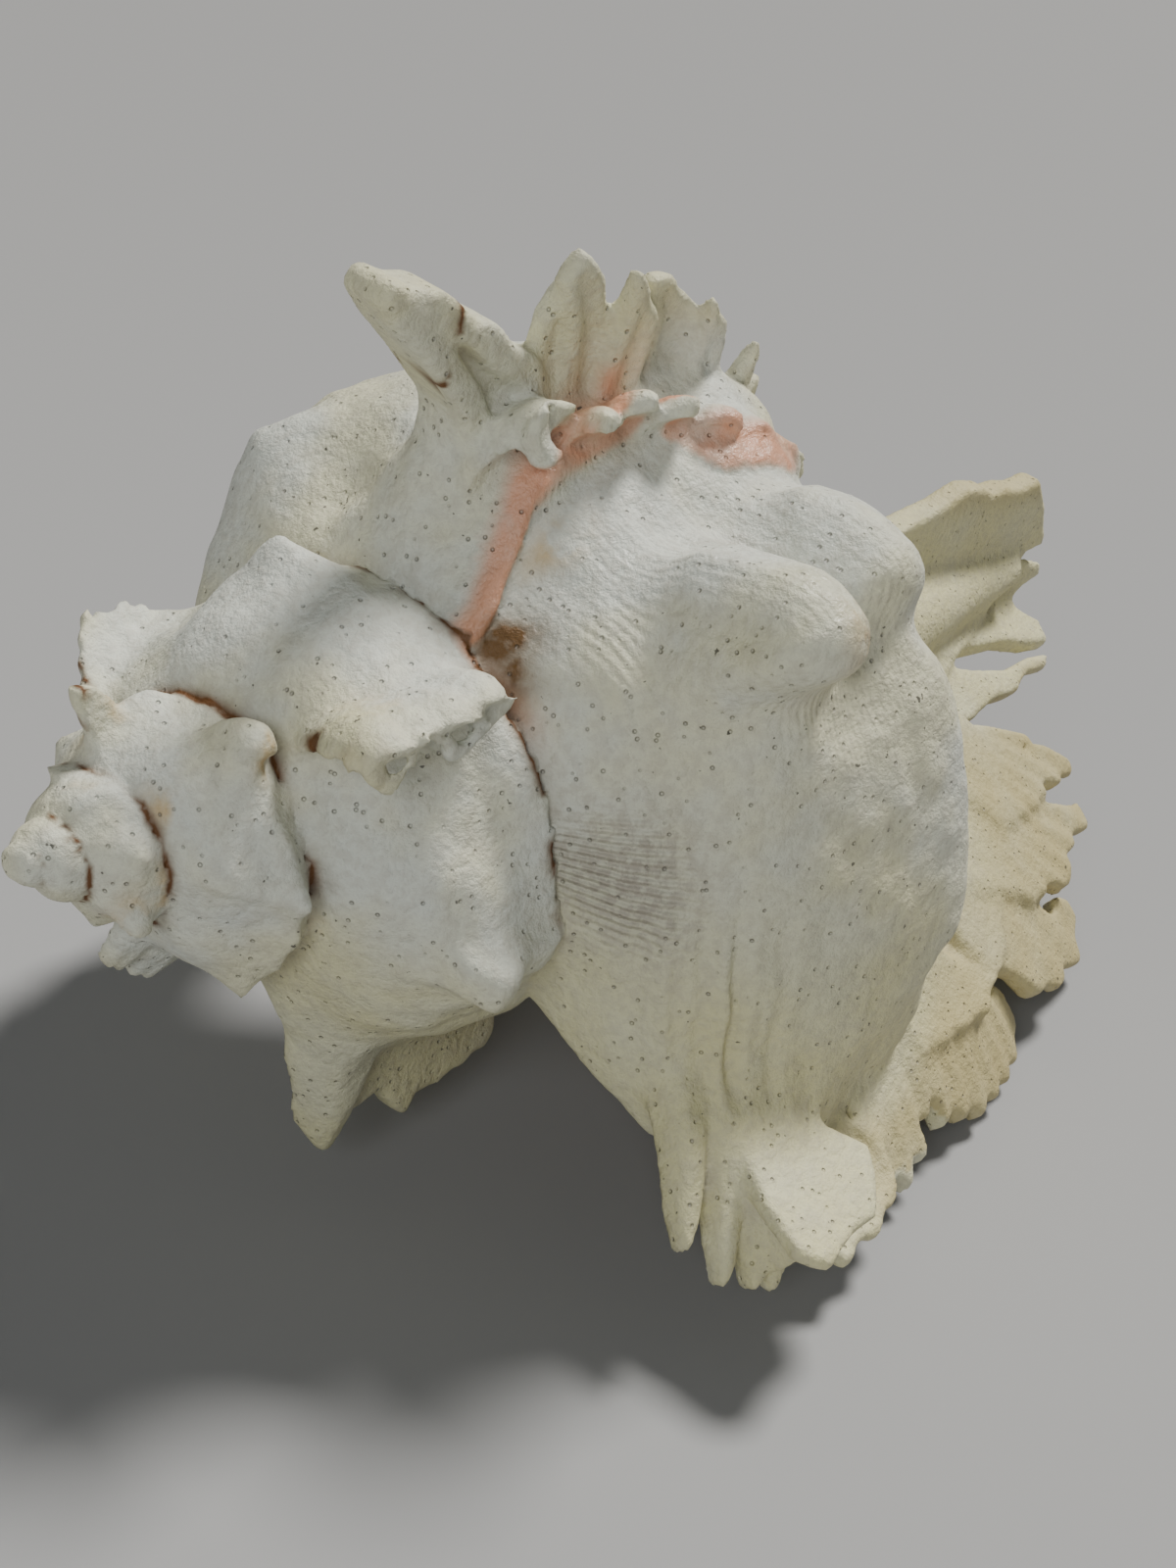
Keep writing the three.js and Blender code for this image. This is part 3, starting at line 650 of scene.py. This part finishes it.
def add_frond(field, root, tip, widths, bow, thick=2.6, fold=0.35, fingers=3, notch=0.16,
              rib=0.35, edge=0.06, reach=3.0, soft=1.0):
    """Joins one frond to the field, with a fillet at its root."""
    size = math.sqrt(growth(root[0]))
    start, middle, end = frond_line(root, tip, bow)
    line = bezier((start, middle, end), np.linspace(0, 1, FROND_POINTS))
    margin = max(widths) * 0.6 + thick + GRID_MARGIN
    box, (x, y, z) = grid_part(line.min(0) - margin, line.max(0) + margin)
    points = np.stack([x, y, z], -1).reshape(-1, 3).astype(np.float32)
    where = place_on_line(points, line)
    on = np.clip(where, 0, 1)
    length = float(np.linalg.norm(np.diff(line, axis=0), axis=1).sum())

    # Directions at the place on the line: along it, across the frond and forward
    tangent = 2 * ((middle - start) * (1 - on)[:, None] + (end - middle) * on[:, None])
    tangent /= np.linalg.norm(tangent, axis=1)[:, None]
    across = np.cross(shell_point(0, 1, root[0] + 90), tangent)
    across /= np.linalg.norm(across, axis=1)[:, None]
    front = np.cross(tangent, across)

    # Half the width there, and the place across in half widths
    w0, w1, w2 = (w / 2 for w in widths)
    half = w0 * (1 - on) ** 2 + w1 * 2 * on * (1 - on) + w2 * on * on
    half = half * (1 + edge * np.cos(2 * math.pi * EDGE_WAVES * on + root[1]))
    away = points - bezier((start, middle, end), on)
    beside = np.einsum("ij,ij->i", away, across) / half
    ahead = np.einsum("ij,ij->i", away, front)

    # The folded faces with their ribs, then the sides and the fingered end
    wall = thick * size * (1 - TIP_THINNING * on)
    depth = fold * half * (0.5 + 0.5 * on)
    bent = np.minimum(np.abs(beside), FOLD_WIDTH)
    top = 0.8 * depth * bent ** 2
    rays = np.cos(math.pi * fingers * beside)
    height = rib * size * smoothstep(on, *RIBS_START)
    round_back = np.sqrt(np.clip(1.15 - bent ** 2, 0.05, 1))
    bottom = top - (wall + 0.35 * depth) * round_back - height * rays
    faces = np.maximum(ahead - top - 0.4 * height * rays, bottom - ahead)
    sides = (np.abs(beside) - 1.0) * half
    finger_ends = 1.0 - notch * (0.5 - 0.5 * rays) - 0.10 * bent ** 2
    ends = (where - finger_ends) * length
    d = blend_max(blend_max(faces, sides, soft), ends, soft)
    d = np.maximum(d, -where * length - FROND_ROOT_PAST)
    d = d.reshape(x.shape).astype(np.float32)
    field[box] = blend_min(field[box], d, reach * size)


# A plate's ribs, frill and scoop grow over this share of the way out from its focus. Its wall
# starts at the first share of its thickness and loses the second on the way.
PLATE_RIBS_START = (0.25, 0.8)
PLATE_THINNING = (1.15, 0.4)
PLATE_EDGE_ROUNDING = 1.0
RIM_SLOPE = 1.5


def add_plate(field, turn, outline, focus, thick=3.2, curl=2.0, scoop=0.8, ribs=6, rib=0.45,
              reach=2.0, frill=0.5, rim=1.0, lean=0.0):
    """Joins one plate to the field."""
    out = shell_point(0, 1, turn)[1:]
    front = shell_point(0, 1, turn + 90)[1:]
    margin = thick + abs(curl) + lean + GRID_MARGIN
    ends = np.array([[u, radius * out[0] + side * margin * front[0],
                      radius * out[1] + side * margin * front[1]]
                     for u, radius in outline for side in (-1, 1)])
    box, (x, y, z) = grid_part(ends.min(0) - GRID_MARGIN, ends.max(0) + GRID_MARGIN)
    radius = y * out[0] + z * out[1]
    forward = y * front[0] + z * front[1]

    # Place about the focus: share of the way to the farthest edge, and the ribs by the angle
    focus_along, focus_radius = focus
    far = max(math.hypot(u - focus_along, r - focus_radius) for u, r in outline)
    away = np.hypot(x - focus_along, radius - focus_radius) / far
    angle = np.arctan2(x - focus_along, radius - focus_radius)
    rays = np.cos(angle * ribs + 1.5 * np.sin(angle * 3.1 + focus_along))
    outer = smoothstep(away, *PLATE_RIBS_START)

    inside = frill * rays * outer - outline_distance(x, radius, outline)
    bend = curl * away ** 3 - lean * np.clip(1.0 - away, 0.0, 1.0) + 0.4 * rib * rays * outer
    wall = 0.5 * thick * (PLATE_THINNING[0] - PLATE_THINNING[1] * away)
    deep = smoothstep(inside, rim, rim + RIM_SLOPE) * outer
    hollow_front = max(scoop, 0.0) * deep
    hollow_back = max(-scoop, 0.0) * deep
    faces = np.maximum(forward - bend - wall + hollow_front,
                       bend - wall - forward + hollow_back - 0.5 * rib * rays * outer)
    d = blend_max(faces, -inside, PLATE_EDGE_ROUNDING).astype(np.float32)
    field[box] = blend_min(field[box], d, reach)


# Small cavities: real along, real radius, turn, radius of the cavity
CAVITIES = [(41.2, 31.6, -91, 2.8), (42.4, 33.0, -87, 2.6), (43.6, 34.2, -83, 1.8),
            (31.5, 28.5, -433, 1.4), (28, 27.5, -431, 1.5), (24.5, 26.5, -431, 1.6),
            (0.9, 1.6, -70, 1.5)]
CANAL_FILLET = 3.0
HOLLOW_RIM = 1.2
SMALL_RIM = 0.8


def shell_field():
    """Distance to the whole shell, negative inside, and to its hollow."""
    field = body_field()
    canal, slot = canal_fields()
    field = blend_min(field, canal, CANAL_FILLET)
    for spec in FRONDS:
        add_frond(field, **spec)
    for spec in PLATES:
        add_plate(field, **spec)
    hollow = hollow_field()
    field = blend_max(field, -hollow, HOLLOW_RIM)
    field = blend_max(field, -slot, SMALL_RIM)
    for along, radius, turn, size in CAVITIES:
        cx, cy, cz = shell_point(along, radius, turn)
        away = np.sqrt((GRID_X - cx) ** 2 + (GRID_Y - cy) ** 2 + (GRID_Z - cz) ** 2)
        field = blend_max(field, (size - away).astype(np.float32), SMALL_RIM)
    height = -GRID_X * math.sin(AXIS_DIP) + GRID_Z * math.cos(AXIS_DIP) + APEX[2]
    return np.maximum(field, LOWEST - height).astype(np.float32), hollow


def box_blur(values, reach):
    """Mean over a cube of 2 * reach + 1 cells, one direction after another."""
    for direction in range(3):
        sums = np.cumsum(values, axis=direction, dtype=np.float32)
        later = np.roll(sums, -reach, axis=direction)
        earlier = np.roll(sums, reach + 1, axis=direction)
        values = (later - earlier) / (2 * reach + 1)
    return values


def sample(values, places):
    """Values of the grid at places given in grid steps, by linear interpolation."""
    low = np.clip(places.astype(int), 0, np.array(values.shape) - 2)
    part = places - low
    total = np.zeros(len(places), np.float32)
    for corner in itertools.product((0, 1), repeat=3):
        weight = np.prod(np.abs(1 - np.array(corner) - part), axis=1)
        total += weight * values[tuple((low + corner).T)]
    return total


def place_object(name, data):
    made = bpy.data.objects.new(name, data)
    bpy.context.scene.collection.objects.link(made)
    return made


# The field is cut off at this distance from the surface before the surface is drawn
FIELD_BAND = 3.0


def build_mesh(field):
    """The surface where the field is 0, as a mesh in metres in the shared frame."""
    grid = openvdb.FloatGrid(FIELD_BAND)
    grid.copyFromArray(np.clip(field, -FIELD_BAND, FIELD_BAND).astype(np.float32))
    vertices, _, quads = grid.convertToPolygons(isovalue=0.0, adaptivity=0.0)
    mesh = bpy.data.meshes.new("shell form")
    points = axis_to_shared(vertices * GRID_STEP + LOW) * MM
    mesh.vertices.add(len(points))
    mesh.vertices.foreach_set("co", points.astype(np.float32).ravel())
    mesh.loops.add(quads.size)
    mesh.loops.foreach_set("vertex_index", quads[:, ::-1].astype(np.int32).ravel())
    mesh.polygons.add(len(quads))
    mesh.polygons.foreach_set("loop_start", np.arange(0, quads.size, 4, dtype=np.int32))
    mesh.polygons.foreach_set("loop_total", np.full(len(quads), 4, np.int32))
    mesh.update(calc_edges=True)
    mesh.validate()
    return mesh


def thin(mesh, triangles):
    """A copy of the mesh with about this many triangles."""
    holder = place_object("thinning", mesh)
    modifier = holder.modifiers.new("thin", "DECIMATE")
    modifier.ratio = min(1.0, triangles / (2.0 * len(mesh.polygons)))
    graph = bpy.context.evaluated_depsgraph_get()
    thinned = bpy.data.meshes.new_from_object(holder.evaluated_get(graph))
    bpy.data.objects.remove(holder)
    return thinned


def keep_largest_part(mesh):
    """Takes away the small loose bits, so that the mesh is one connected surface."""
    shape = bmesh.new()
    shape.from_mesh(mesh)
    largest = []
    for start in shape.verts:
        if start.tag:
            continue
        start.tag = True
        part = [start]
        for vertex in part:  # the list grows while it is walked
            for edge in vertex.link_edges:
                other = edge.other_vert(vertex)
                if not other.tag:
                    other.tag = True
                    part.append(other)
        if len(part) > len(largest):
            largest = part
    kept = set(largest)
    loose = [vertex for vertex in shape.verts if vertex not in kept]
    bmesh.ops.delete(shape, geom=loose, context="VERTS")
    shape.to_mesh(mesh)
    shape.free()
    mesh.validate()


def spot(turn, along, centre, spreads):
    """A soft round spot on the surface, by turn and along."""
    return bell(turn - centre[0], spreads[0]) * bell(along - centre[1], spreads[1])


# Marks on the surface: (turn, along), (spread in turn, spread along), and a stain's strength
YELLOW_STAINS = [((-1075, 67), (22, 9), 1.0), ((-872, 61), (14, 6), 1.0), ((-803, 78), (8, 4), 0.8),
                 ((-1100, 84), (25, 4), 0.7), ((-800, 50), (12, 2.5), 0.7),
                 ((-372, 49), (6, 2), 0.5), ((-441, 56), (5, 6), 0.3), ((-70, 66), (4, 3), 0.5),
                 ((-98, 58), (3, 3), 0.7), ((-1189, 66), (20, 8), 0.6)]
BROWN_STAINS = [((-88, 50), (5, 2.6), 1.2), ((-80, 48.6), (5, 1.4), 0.9),
                ((-70, 68), (1.2, 3), 0.6), ((-86, 71), (2.5, 2.0), 0.35)]
ROUGH_PATCH = ((-39, 51), (14, 5))
GLOSSY_PATCH = ((-82, 64), (22, 16))
PINK_SPOTS = [((-449, 86.3), (5, 1.6)), ((-440, 86.5), (6, 1.2)), ((-77, 47.7), (9, 0.9))]

# Ranges over which the masks rise or fall. Height is above the plain outline.
INNER_SKIN = (0.4, 1.4)
INNER_TOP = (-6.2, -5.0)
# Painted shade in the crevices: the reach of the cube of cells about each point, and the shares of
# solid in it over which the grey-beige shade comes in
CREVICE_SHADE_REACH = 2.4
CREVICE_SHADE_SHARE = (0.52, 0.72)
PINK_FROM_EDGE = ((-9.0, -4.5), (-0.4, 0.6))
PINK_END_ALONG = (96.0, 100.0)
PINK_TOP = (3.0, 5.0)
RUST_LINES = [(SUTURE, 1.3, 1.3), (NEXT_SUTURE, 1.3, 1.8)]  # along, strength, spread
RUST_TURNS = (-395.0, -380.0)
RUST_NOISE = (9.0, 21)  # size and seed
RUST_PATCHES = (-0.9, 0.3)
CREAM_TURNS = (-60.0, -15.0)
CREAM_TO_CANAL = (82.0, 120.0)
CREAM_BELOW = (0.75, (-395.0, -350.0), -300)
CREAM_FRONDS = (0.5, (4.0, 9.0))
FAN_TURNS = (-14.0, -3.0)
FAN_PAST_LIP = (100.0, -350.0)
FAN_TO_CANAL = (122.0, 136.0)
FAN_HEIGHT = (2.0, 9.0)
FAN_START = (70.0, 84.0)


def stains(turn, along, marks):
    return sum(strength * spot(turn, along, centre, spreads) for centre, spreads, strength in marks)


def cream_masks(u, turn, height):
    """Cream on the lip's side, the canal and the fronds, and on the lip's fans a deep cream that is
    partly their own tint and partly painted shade.
    """
    below, below_turns, below_end = CREAM_BELOW
    frond_share, frond_height = CREAM_FRONDS
    cream = np.maximum(smoothstep(turn, *CREAM_TURNS), smoothstep(u, *CREAM_TO_CANAL))
    cream = np.maximum(cream, below * smoothstep(turn, *below_turns) * (turn < below_end))
    cream = np.maximum(cream, frond_share * smoothstep(height, *frond_height))
    fan_cream_and_shade = smoothstep(turn, *FAN_TURNS) + (u > FAN_PAST_LIP[0]) * (turn < FAN_PAST_LIP[1])
    fan_cream_and_shade = np.maximum(fan_cream_and_shade, smoothstep(u, *FAN_TO_CANAL)) * smoothstep(height, *FAN_HEIGHT)
    return cream, fan_cream_and_shade * smoothstep(u, *FAN_START)


def pink_mask(turn, along, height):
    past_edge = turn - band_edge_turn(along)
    before, after = PINK_FROM_EDGE
    pink = smoothstep(past_edge, *before) * (1 - smoothstep(past_edge, *after))
    pink *= (1 - smoothstep(along, *PINK_END_ALONG)) * (1 - smoothstep(height, *PINK_TOP))
    return np.maximum(pink, sum(spot(turn, along, *place) for place in PINK_SPOTS))


def rust_mask(points, turn, along):
    rust = sum(strength * bell(along - line, spread) for line, strength, spread in RUST_LINES)
    rust *= 1 - smoothstep(turn, *RUST_TURNS)
    return rust * smoothstep(waves(points, *RUST_NOISE), *RUST_PATCHES)


def paint_masks(mesh, field, hollow):
    """Soft masks on the vertices, from each one's place on the spiral, and painted shade in the
    crevices from how much solid lies about each one.
    """
    points = np.empty(len(mesh.vertices) * 3, np.float32)
    mesh.vertices.foreach_get("co", points)
    points = shared_to_axis(points.reshape(-1, 3) / MM)
    u, y, z = points.T
    turn, along = whorl_place(u, turn_of(y, z))
    height = np.hypot(y, z) - growth(turn) * outline_radius(along)
    places = (points - LOW) / GRID_STEP
    inner = 1.0 - smoothstep(np.abs(sample(hollow, places)), *INNER_SKIN)
    # Painted shade for the crevices comes from the share of solid cells about each point
    solid = (field < 0).astype(np.float32)
    filled = box_blur(solid, max(2, round(CREVICE_SHADE_REACH / GRID_STEP)))
    cream, fan_cream_and_shade = cream_masks(u, turn, height)
    masks = {"cream": cream, "fan_cream_and_shade": fan_cream_and_shade, "pink": pink_mask(turn, along, height),
             "inner": inner * (1 - smoothstep(height, *INNER_TOP)),
             "crevice_shade": smoothstep(sample(filled, places), *CREVICE_SHADE_SHARE),
             "rust": rust_mask(points, turn, along),
             "yellow": stains(turn, along, YELLOW_STAINS),
             "brown": stains(turn, along, BROWN_STAINS),
             "rough": spot(turn, along, *ROUGH_PATCH),
             "gloss": spot(turn, along, *GLOSSY_PATCH), "turn": turn, "along": along}
    for name, values in masks.items():
        layer = mesh.attributes.new(name, "FLOAT", "POINT")
        layer.data.foreach_set("value", np.asarray(values, np.float32).ravel())


def build_shell():
    field, hollow = shell_field()
    mesh = thin(build_mesh(field), TRIANGLES)
    keep_largest_part(mesh)
    mesh.name = "murex_shell"
    mesh.polygons.foreach_set("use_smooth", np.ones(len(mesh.polygons), bool))
    paint_masks(mesh, field, hollow)
    shell = place_object("murex_shell", mesh)
    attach(shell, "root")
    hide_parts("shell")
    return shell


class Shader:
    """Short names for the nodes of one material."""

    def __init__(self, name):
        self.material = bpy.data.materials.new(name)
        self.material.use_nodes = True
        self.tree = self.material.node_tree
        self.surface = self.tree.nodes["Principled BSDF"]
        self.place = self.tree.nodes.new("ShaderNodeTexCoord").outputs["Object"]

    def link(self, source, socket):
        if isinstance(source, (int, float)):
            socket.default_value = source
        elif isinstance(source, tuple):
            socket.default_value = (*source, 1.0)
        else:
            self.tree.links.new(source, socket)

    def node(self, kind, inputs, **settings):
        """The outputs of a new node, made with these inputs and settings."""
        made = self.tree.nodes.new(kind)
        for setting, value in settings.items():
            setattr(made, setting, value)
        for socket, source in inputs.items():
            self.link(source, made.inputs[socket])
        return made.outputs

    def mask(self, name):
        return self.node("ShaderNodeAttribute", {}, attribute_name=name)["Fac"]

    def maths(self, operation, a, b=0.0):
        return self.node("ShaderNodeMath", {0: a, 1: b}, operation=operation)[0]

    def times(self, a, b):
        return self.maths("MULTIPLY", a, b)

    def mix(self, share, a, b):
        return self.node("ShaderNodeMix", {"Factor": share, 6: a, 7: b}, data_type="RGBA")[2]

    def ramp(self, value, low, high, to_low=0.0, to_high=1.0):
        """A smooth change from to_low to to_high while the value goes from low to high."""
        inputs = {0: value, 1: low, 2: high, 3: to_low, 4: to_high}
        return self.node("ShaderNodeMapRange", inputs, interpolation_type="SMOOTHSTEP")[0]

    def stripes(self, mask, spacing):
        """A sine wave over a mask's own units."""
        return self.maths("SINE", self.times(self.mask(mask), 2 * math.pi / spacing))

    def noise(self, size, detail, roughness):
        """Noise about 0.5, with lumps of this many metres."""
        inputs = {"Scale": 1.0 / size, "Detail": detail, "Roughness": roughness}
        return self.node("ShaderNodeTexNoise", {**inputs, "Vector": self.place})["Fac"]

    def dots(self, spacing, size, share):
        """Small round dots, 1 at their middles, in this share of the cells."""
        inputs = {"Scale": 1.0 / spacing, "Vector": self.place}
        cells = self.node("ShaderNodeTexVoronoi", inputs)
        chance = self.node("ShaderNodeSeparateColor", {0: cells["Color"]})[0]
        dot = self.ramp(cells["Distance"], size / spacing, 0.3 * size / spacing)
        return self.times(dot, self.maths("LESS_THAN", chance, share))

    def bump(self, height, distance, strength):
        inputs = {"Height": height, "Distance": distance, "Strength": strength}
        return self.node("ShaderNodeBump", inputs)["Normal"]


# Colours, as linear red, green and blue
COOL_WHITE = (0.66, 0.68, 0.61)
WARM_WHITE = (0.68, 0.66, 0.47)
CREAM = (0.67, 0.63, 0.36)
# Deep cream of the fans: their own yellower tint, darkened further as painted shade
DEEP_CREAM_AND_SHADE = (0.50, 0.42, 0.20)
SALMON = (0.70, 0.34, 0.21)
RUST = (0.13, 0.05, 0.010)
OCHRE = (0.60, 0.36, 0.07)
BROWN = (0.13, 0.06, 0.010)
GREY_BEIGE = (0.42, 0.38, 0.31)
ORANGE = (0.75, 0.27, 0.10)
SPECK = (0.06, 0.055, 0.045)
PORE = (0.34, 0.32, 0.28)

# Sizes of the lumps in each noise, in metres, with its detail and roughness
NOISES = {"large": (0.018, 3.0, 0.55), "middle": (0.005, 4.0, 0.55), "small": (0.0012, 4.0, 0.65)}

# Layers of colour over cool white, from the first to the last: mask or None, colour, noise, the
# noise's range, and the share of the colour at each end of it
LAYERS = [
    (None, WARM_WHITE, "large", (0.38, 0.62), (0.0, 1.0)),
    ("cream", CREAM, "large", (0.2, 0.7), (0.65, 1.0)),
    (None, GREY_BEIGE, "small", (0.40, 0.64), (0.0, 0.30)),
    # The fans' deep cream is partly their own tint and partly painted shade on the standing fronds
    ("fan_cream_and_shade", DEEP_CREAM_AND_SHADE, "large", (0.3, 0.7), (0.5, 1.0)),
    ("pink", SALMON, "middle", (0.3, 0.6), (0.55, 0.95)),
    ("yellow", OCHRE, "middle", (0.42, 0.62), (0.0, 1.0)),
    ("rough", GREY_BEIGE, "small", (0.4, 0.6), (0.35, 1.0)),
    # Grey-beige painted shade in the crevices, where much solid lies about the surface
    ("crevice_shade", GREY_BEIGE, "middle", (0.35, 0.7), (0.1, 0.6)),
    ("rust", RUST, "middle", (0.28, 0.46), (0.0, 1.0)),
    ("brown", BROWN, "middle", (0.30, 0.66), (0.45, 1.25)),
]

# Pores are small grey dots, and specks are the peaks of a fine noise
PORES = dict(spacing=0.0013, size=0.00028, share=0.6)
PORE_SHARES = (0.42, 0.62, 0.05, 0.6)
SPECK_NOISE = (0.0010, 2.0, 0.55)
SPECK_PATCHES = (0.3, 0.65, 0.9, 1.02)
SPECK_SHARES = (0.705, 0.74, 0.0, 0.85)

DULL_ROUGHNESS = 0.62
GLOSSY_ROUGHNESS = 0.26
GLOSS_PATCHES = (0.45, 0.6)
PINK_GLOSS = 0.7

# The fine relief: spiral threads by along, growth lines by turn, and the noises' shares
THREAD_SPACING = 0.9
THREAD_SHARES = (0.4, 0.65, 0.05, 0.22)
GROWTH_LINE_SPACING = 1.7
GROWTH_LINE_SHARES = (0.1, 0.9, 0.0, 0.4)
GROWTH_LINE_TURNS = (-125.0, -95.0)
SMALL_SHARE, MIDDLE_SHARE, PORE_SHARE = 1.1, 0.9, -0.9
INNER_SMOOTHNESS = 0.9


def shell_colour(paint, noises, pores):
    colour = COOL_WHITE
    for mask, tint, noise, places, shares in LAYERS:
        share = paint.ramp(noises[noise], *places, *shares)
        if mask:
            share = paint.times(paint.mask(mask), share)
        colour = paint.mix(share, colour, tint)
    pore_share = paint.times(pores, paint.ramp(noises["middle"], *PORE_SHARES))
    colour = paint.mix(pore_share, colour, PORE)
    patches = paint.ramp(noises["large"], *SPECK_PATCHES)
    specks = paint.times(paint.noise(*SPECK_NOISE), patches)
    colour = paint.mix(paint.ramp(specks, *SPECK_SHARES), colour, SPECK)
    return paint.mix(paint.mask("inner"), colour, ORANGE)


def shell_roughness(paint, noises):
    patches = paint.ramp(noises["middle"], *GLOSS_PATCHES)
    gloss = paint.times(paint.mask("gloss"), patches)
    pink = paint.times(paint.mask("pink"), PINK_GLOSS)
    gloss = paint.maths("MAXIMUM", gloss, pink)
    gloss = paint.maths("MAXIMUM", gloss, paint.mask("inner"))
    return paint.ramp(gloss, 0.0, 1.0, DULL_ROUGHNESS, GLOSSY_ROUGHNESS)


def shell_relief(paint, noises, pores):
    rough = paint.mask("rough")
    threads = paint.times(paint.stripes("along", THREAD_SPACING),
                          paint.ramp(noises["large"], *THREAD_SHARES))
    threads = paint.times(threads, paint.maths("MAXIMUM", rough, paint.mask("gloss")))
    growth_lines = paint.times(paint.stripes("turn", GROWTH_LINE_SPACING),
                               paint.ramp(rough, *GROWTH_LINE_SHARES))
    last_whorl = paint.ramp(paint.mask("turn"), *GROWTH_LINE_TURNS)
    relief = paint.maths("ADD", threads, paint.times(growth_lines, last_whorl))
    for part, share in ((noises["small"], SMALL_SHARE), (noises["middle"], MIDDLE_SHARE),
                        (pores, PORE_SHARE)):
        relief = paint.maths("ADD", relief, paint.times(part, share))
    inner = paint.times(paint.mask("inner"), INNER_SMOOTHNESS)
    return paint.times(relief, paint.maths("SUBTRACT", 1.0, inner))


def chalky_shell():
    paint = Shader("chalky_shell")
    noises = {name: paint.noise(*settings) for name, settings in NOISES.items()}
    pores = paint.dots(**PORES)
    paint.link(shell_colour(paint, noises, pores), paint.surface.inputs["Base Color"])
    paint.link(shell_roughness(paint, noises), paint.surface.inputs["Roughness"])
    bump = paint.bump(shell_relief(paint, noises, pores), distance=0.00045, strength=0.9)
    paint.link(bump, paint.surface.inputs["Normal"])
    return paint.material


shell = build_shell()
shell.data.materials.clear()
shell.data.materials.append(chalky_shell())

# The floor under the shell, which stands for the cloth
FLOOR = 20.0
floor_mesh = bpy.data.meshes.new("floor")
floor_mesh.from_pydata([(-FLOOR, -FLOOR, 0), (FLOOR, -FLOOR, 0), (FLOOR, FLOOR, 0),
                        (-FLOOR, FLOOR, 0)], [], [(0, 1, 2, 3)])
floor = place_object("floor", floor_mesh)
pale = bpy.data.materials.new("pale floor")
pale.use_nodes = True
floor_surface = pale.node_tree.nodes["Principled BSDF"]
floor_surface.inputs["Base Color"].default_value = (0.31, 0.31, 0.315, 1)
floor_surface.inputs["Roughness"].default_value = 0.8
floor_mesh.materials.append(pale)


# Lights: a soft sun from the upper right of the picture, a weak fill and a dim sky
def stage_light(name, light, direction, power, colour):
    light.energy = power
    light.color = colour
    holder = place_object(name, light)
    holder.rotation_euler = Vector(direction).to_track_quat("-Z", "Y").to_euler()
    return holder


FILL_PLACE = Vector((-0.70, -0.35, 0.45))
FILL_TARGET = Vector((0, 0, 0.04))
fill = bpy.data.lights.new("fill light", "AREA")
fill.shape = "DISK"
fill.size = 0.4
fill_holder = stage_light("fill light", fill, direction=FILL_TARGET - FILL_PLACE, power=2.6,
                          colour=(0.97, 1.0, 1.0))
fill_holder.location = FILL_PLACE

sun = bpy.data.lights.new("soft key", "SUN")
sun.angle = math.radians(14)
stage_light("soft key", sun, direction=(-0.46, 0.02, -0.88), power=4.5, colour=(1.0, 0.98, 0.93))

world = bpy.data.worlds.new("soft light")
world.use_nodes = True
sky = world.node_tree.nodes["Background"]
sky.inputs["Color"].default_value = (0.80, 0.81, 0.80, 1)
sky.inputs["Strength"].default_value = 0.12
bpy.context.scene.world = world

# The camera stands where the photo's camera stood
CAMERA_PLACE = (-0.16290, -0.11347, 0.13316)
CAMERA_RIGHT = (0.663125, -0.739095, 0.118340)
CAMERA_UP = (0.273106, 0.386111, 0.881096)
CAMERA_FORWARD = (0.696906, 0.551958, -0.457891)
camera_data = bpy.data.cameras.new("camera")
camera_data.sensor_fit = "VERTICAL"
camera_data.sensor_height = 36.0
camera_data.lens = 39.137
camera_data.clip_start = 0.01
camera = place_object("camera", camera_data)
turned = Matrix((CAMERA_RIGHT, CAMERA_UP, [-v for v in CAMERA_FORWARD])).transposed()
camera.matrix_world = Matrix.Translation(CAMERA_PLACE) @ turned.to_4x4()
bpy.context.scene.camera = camera
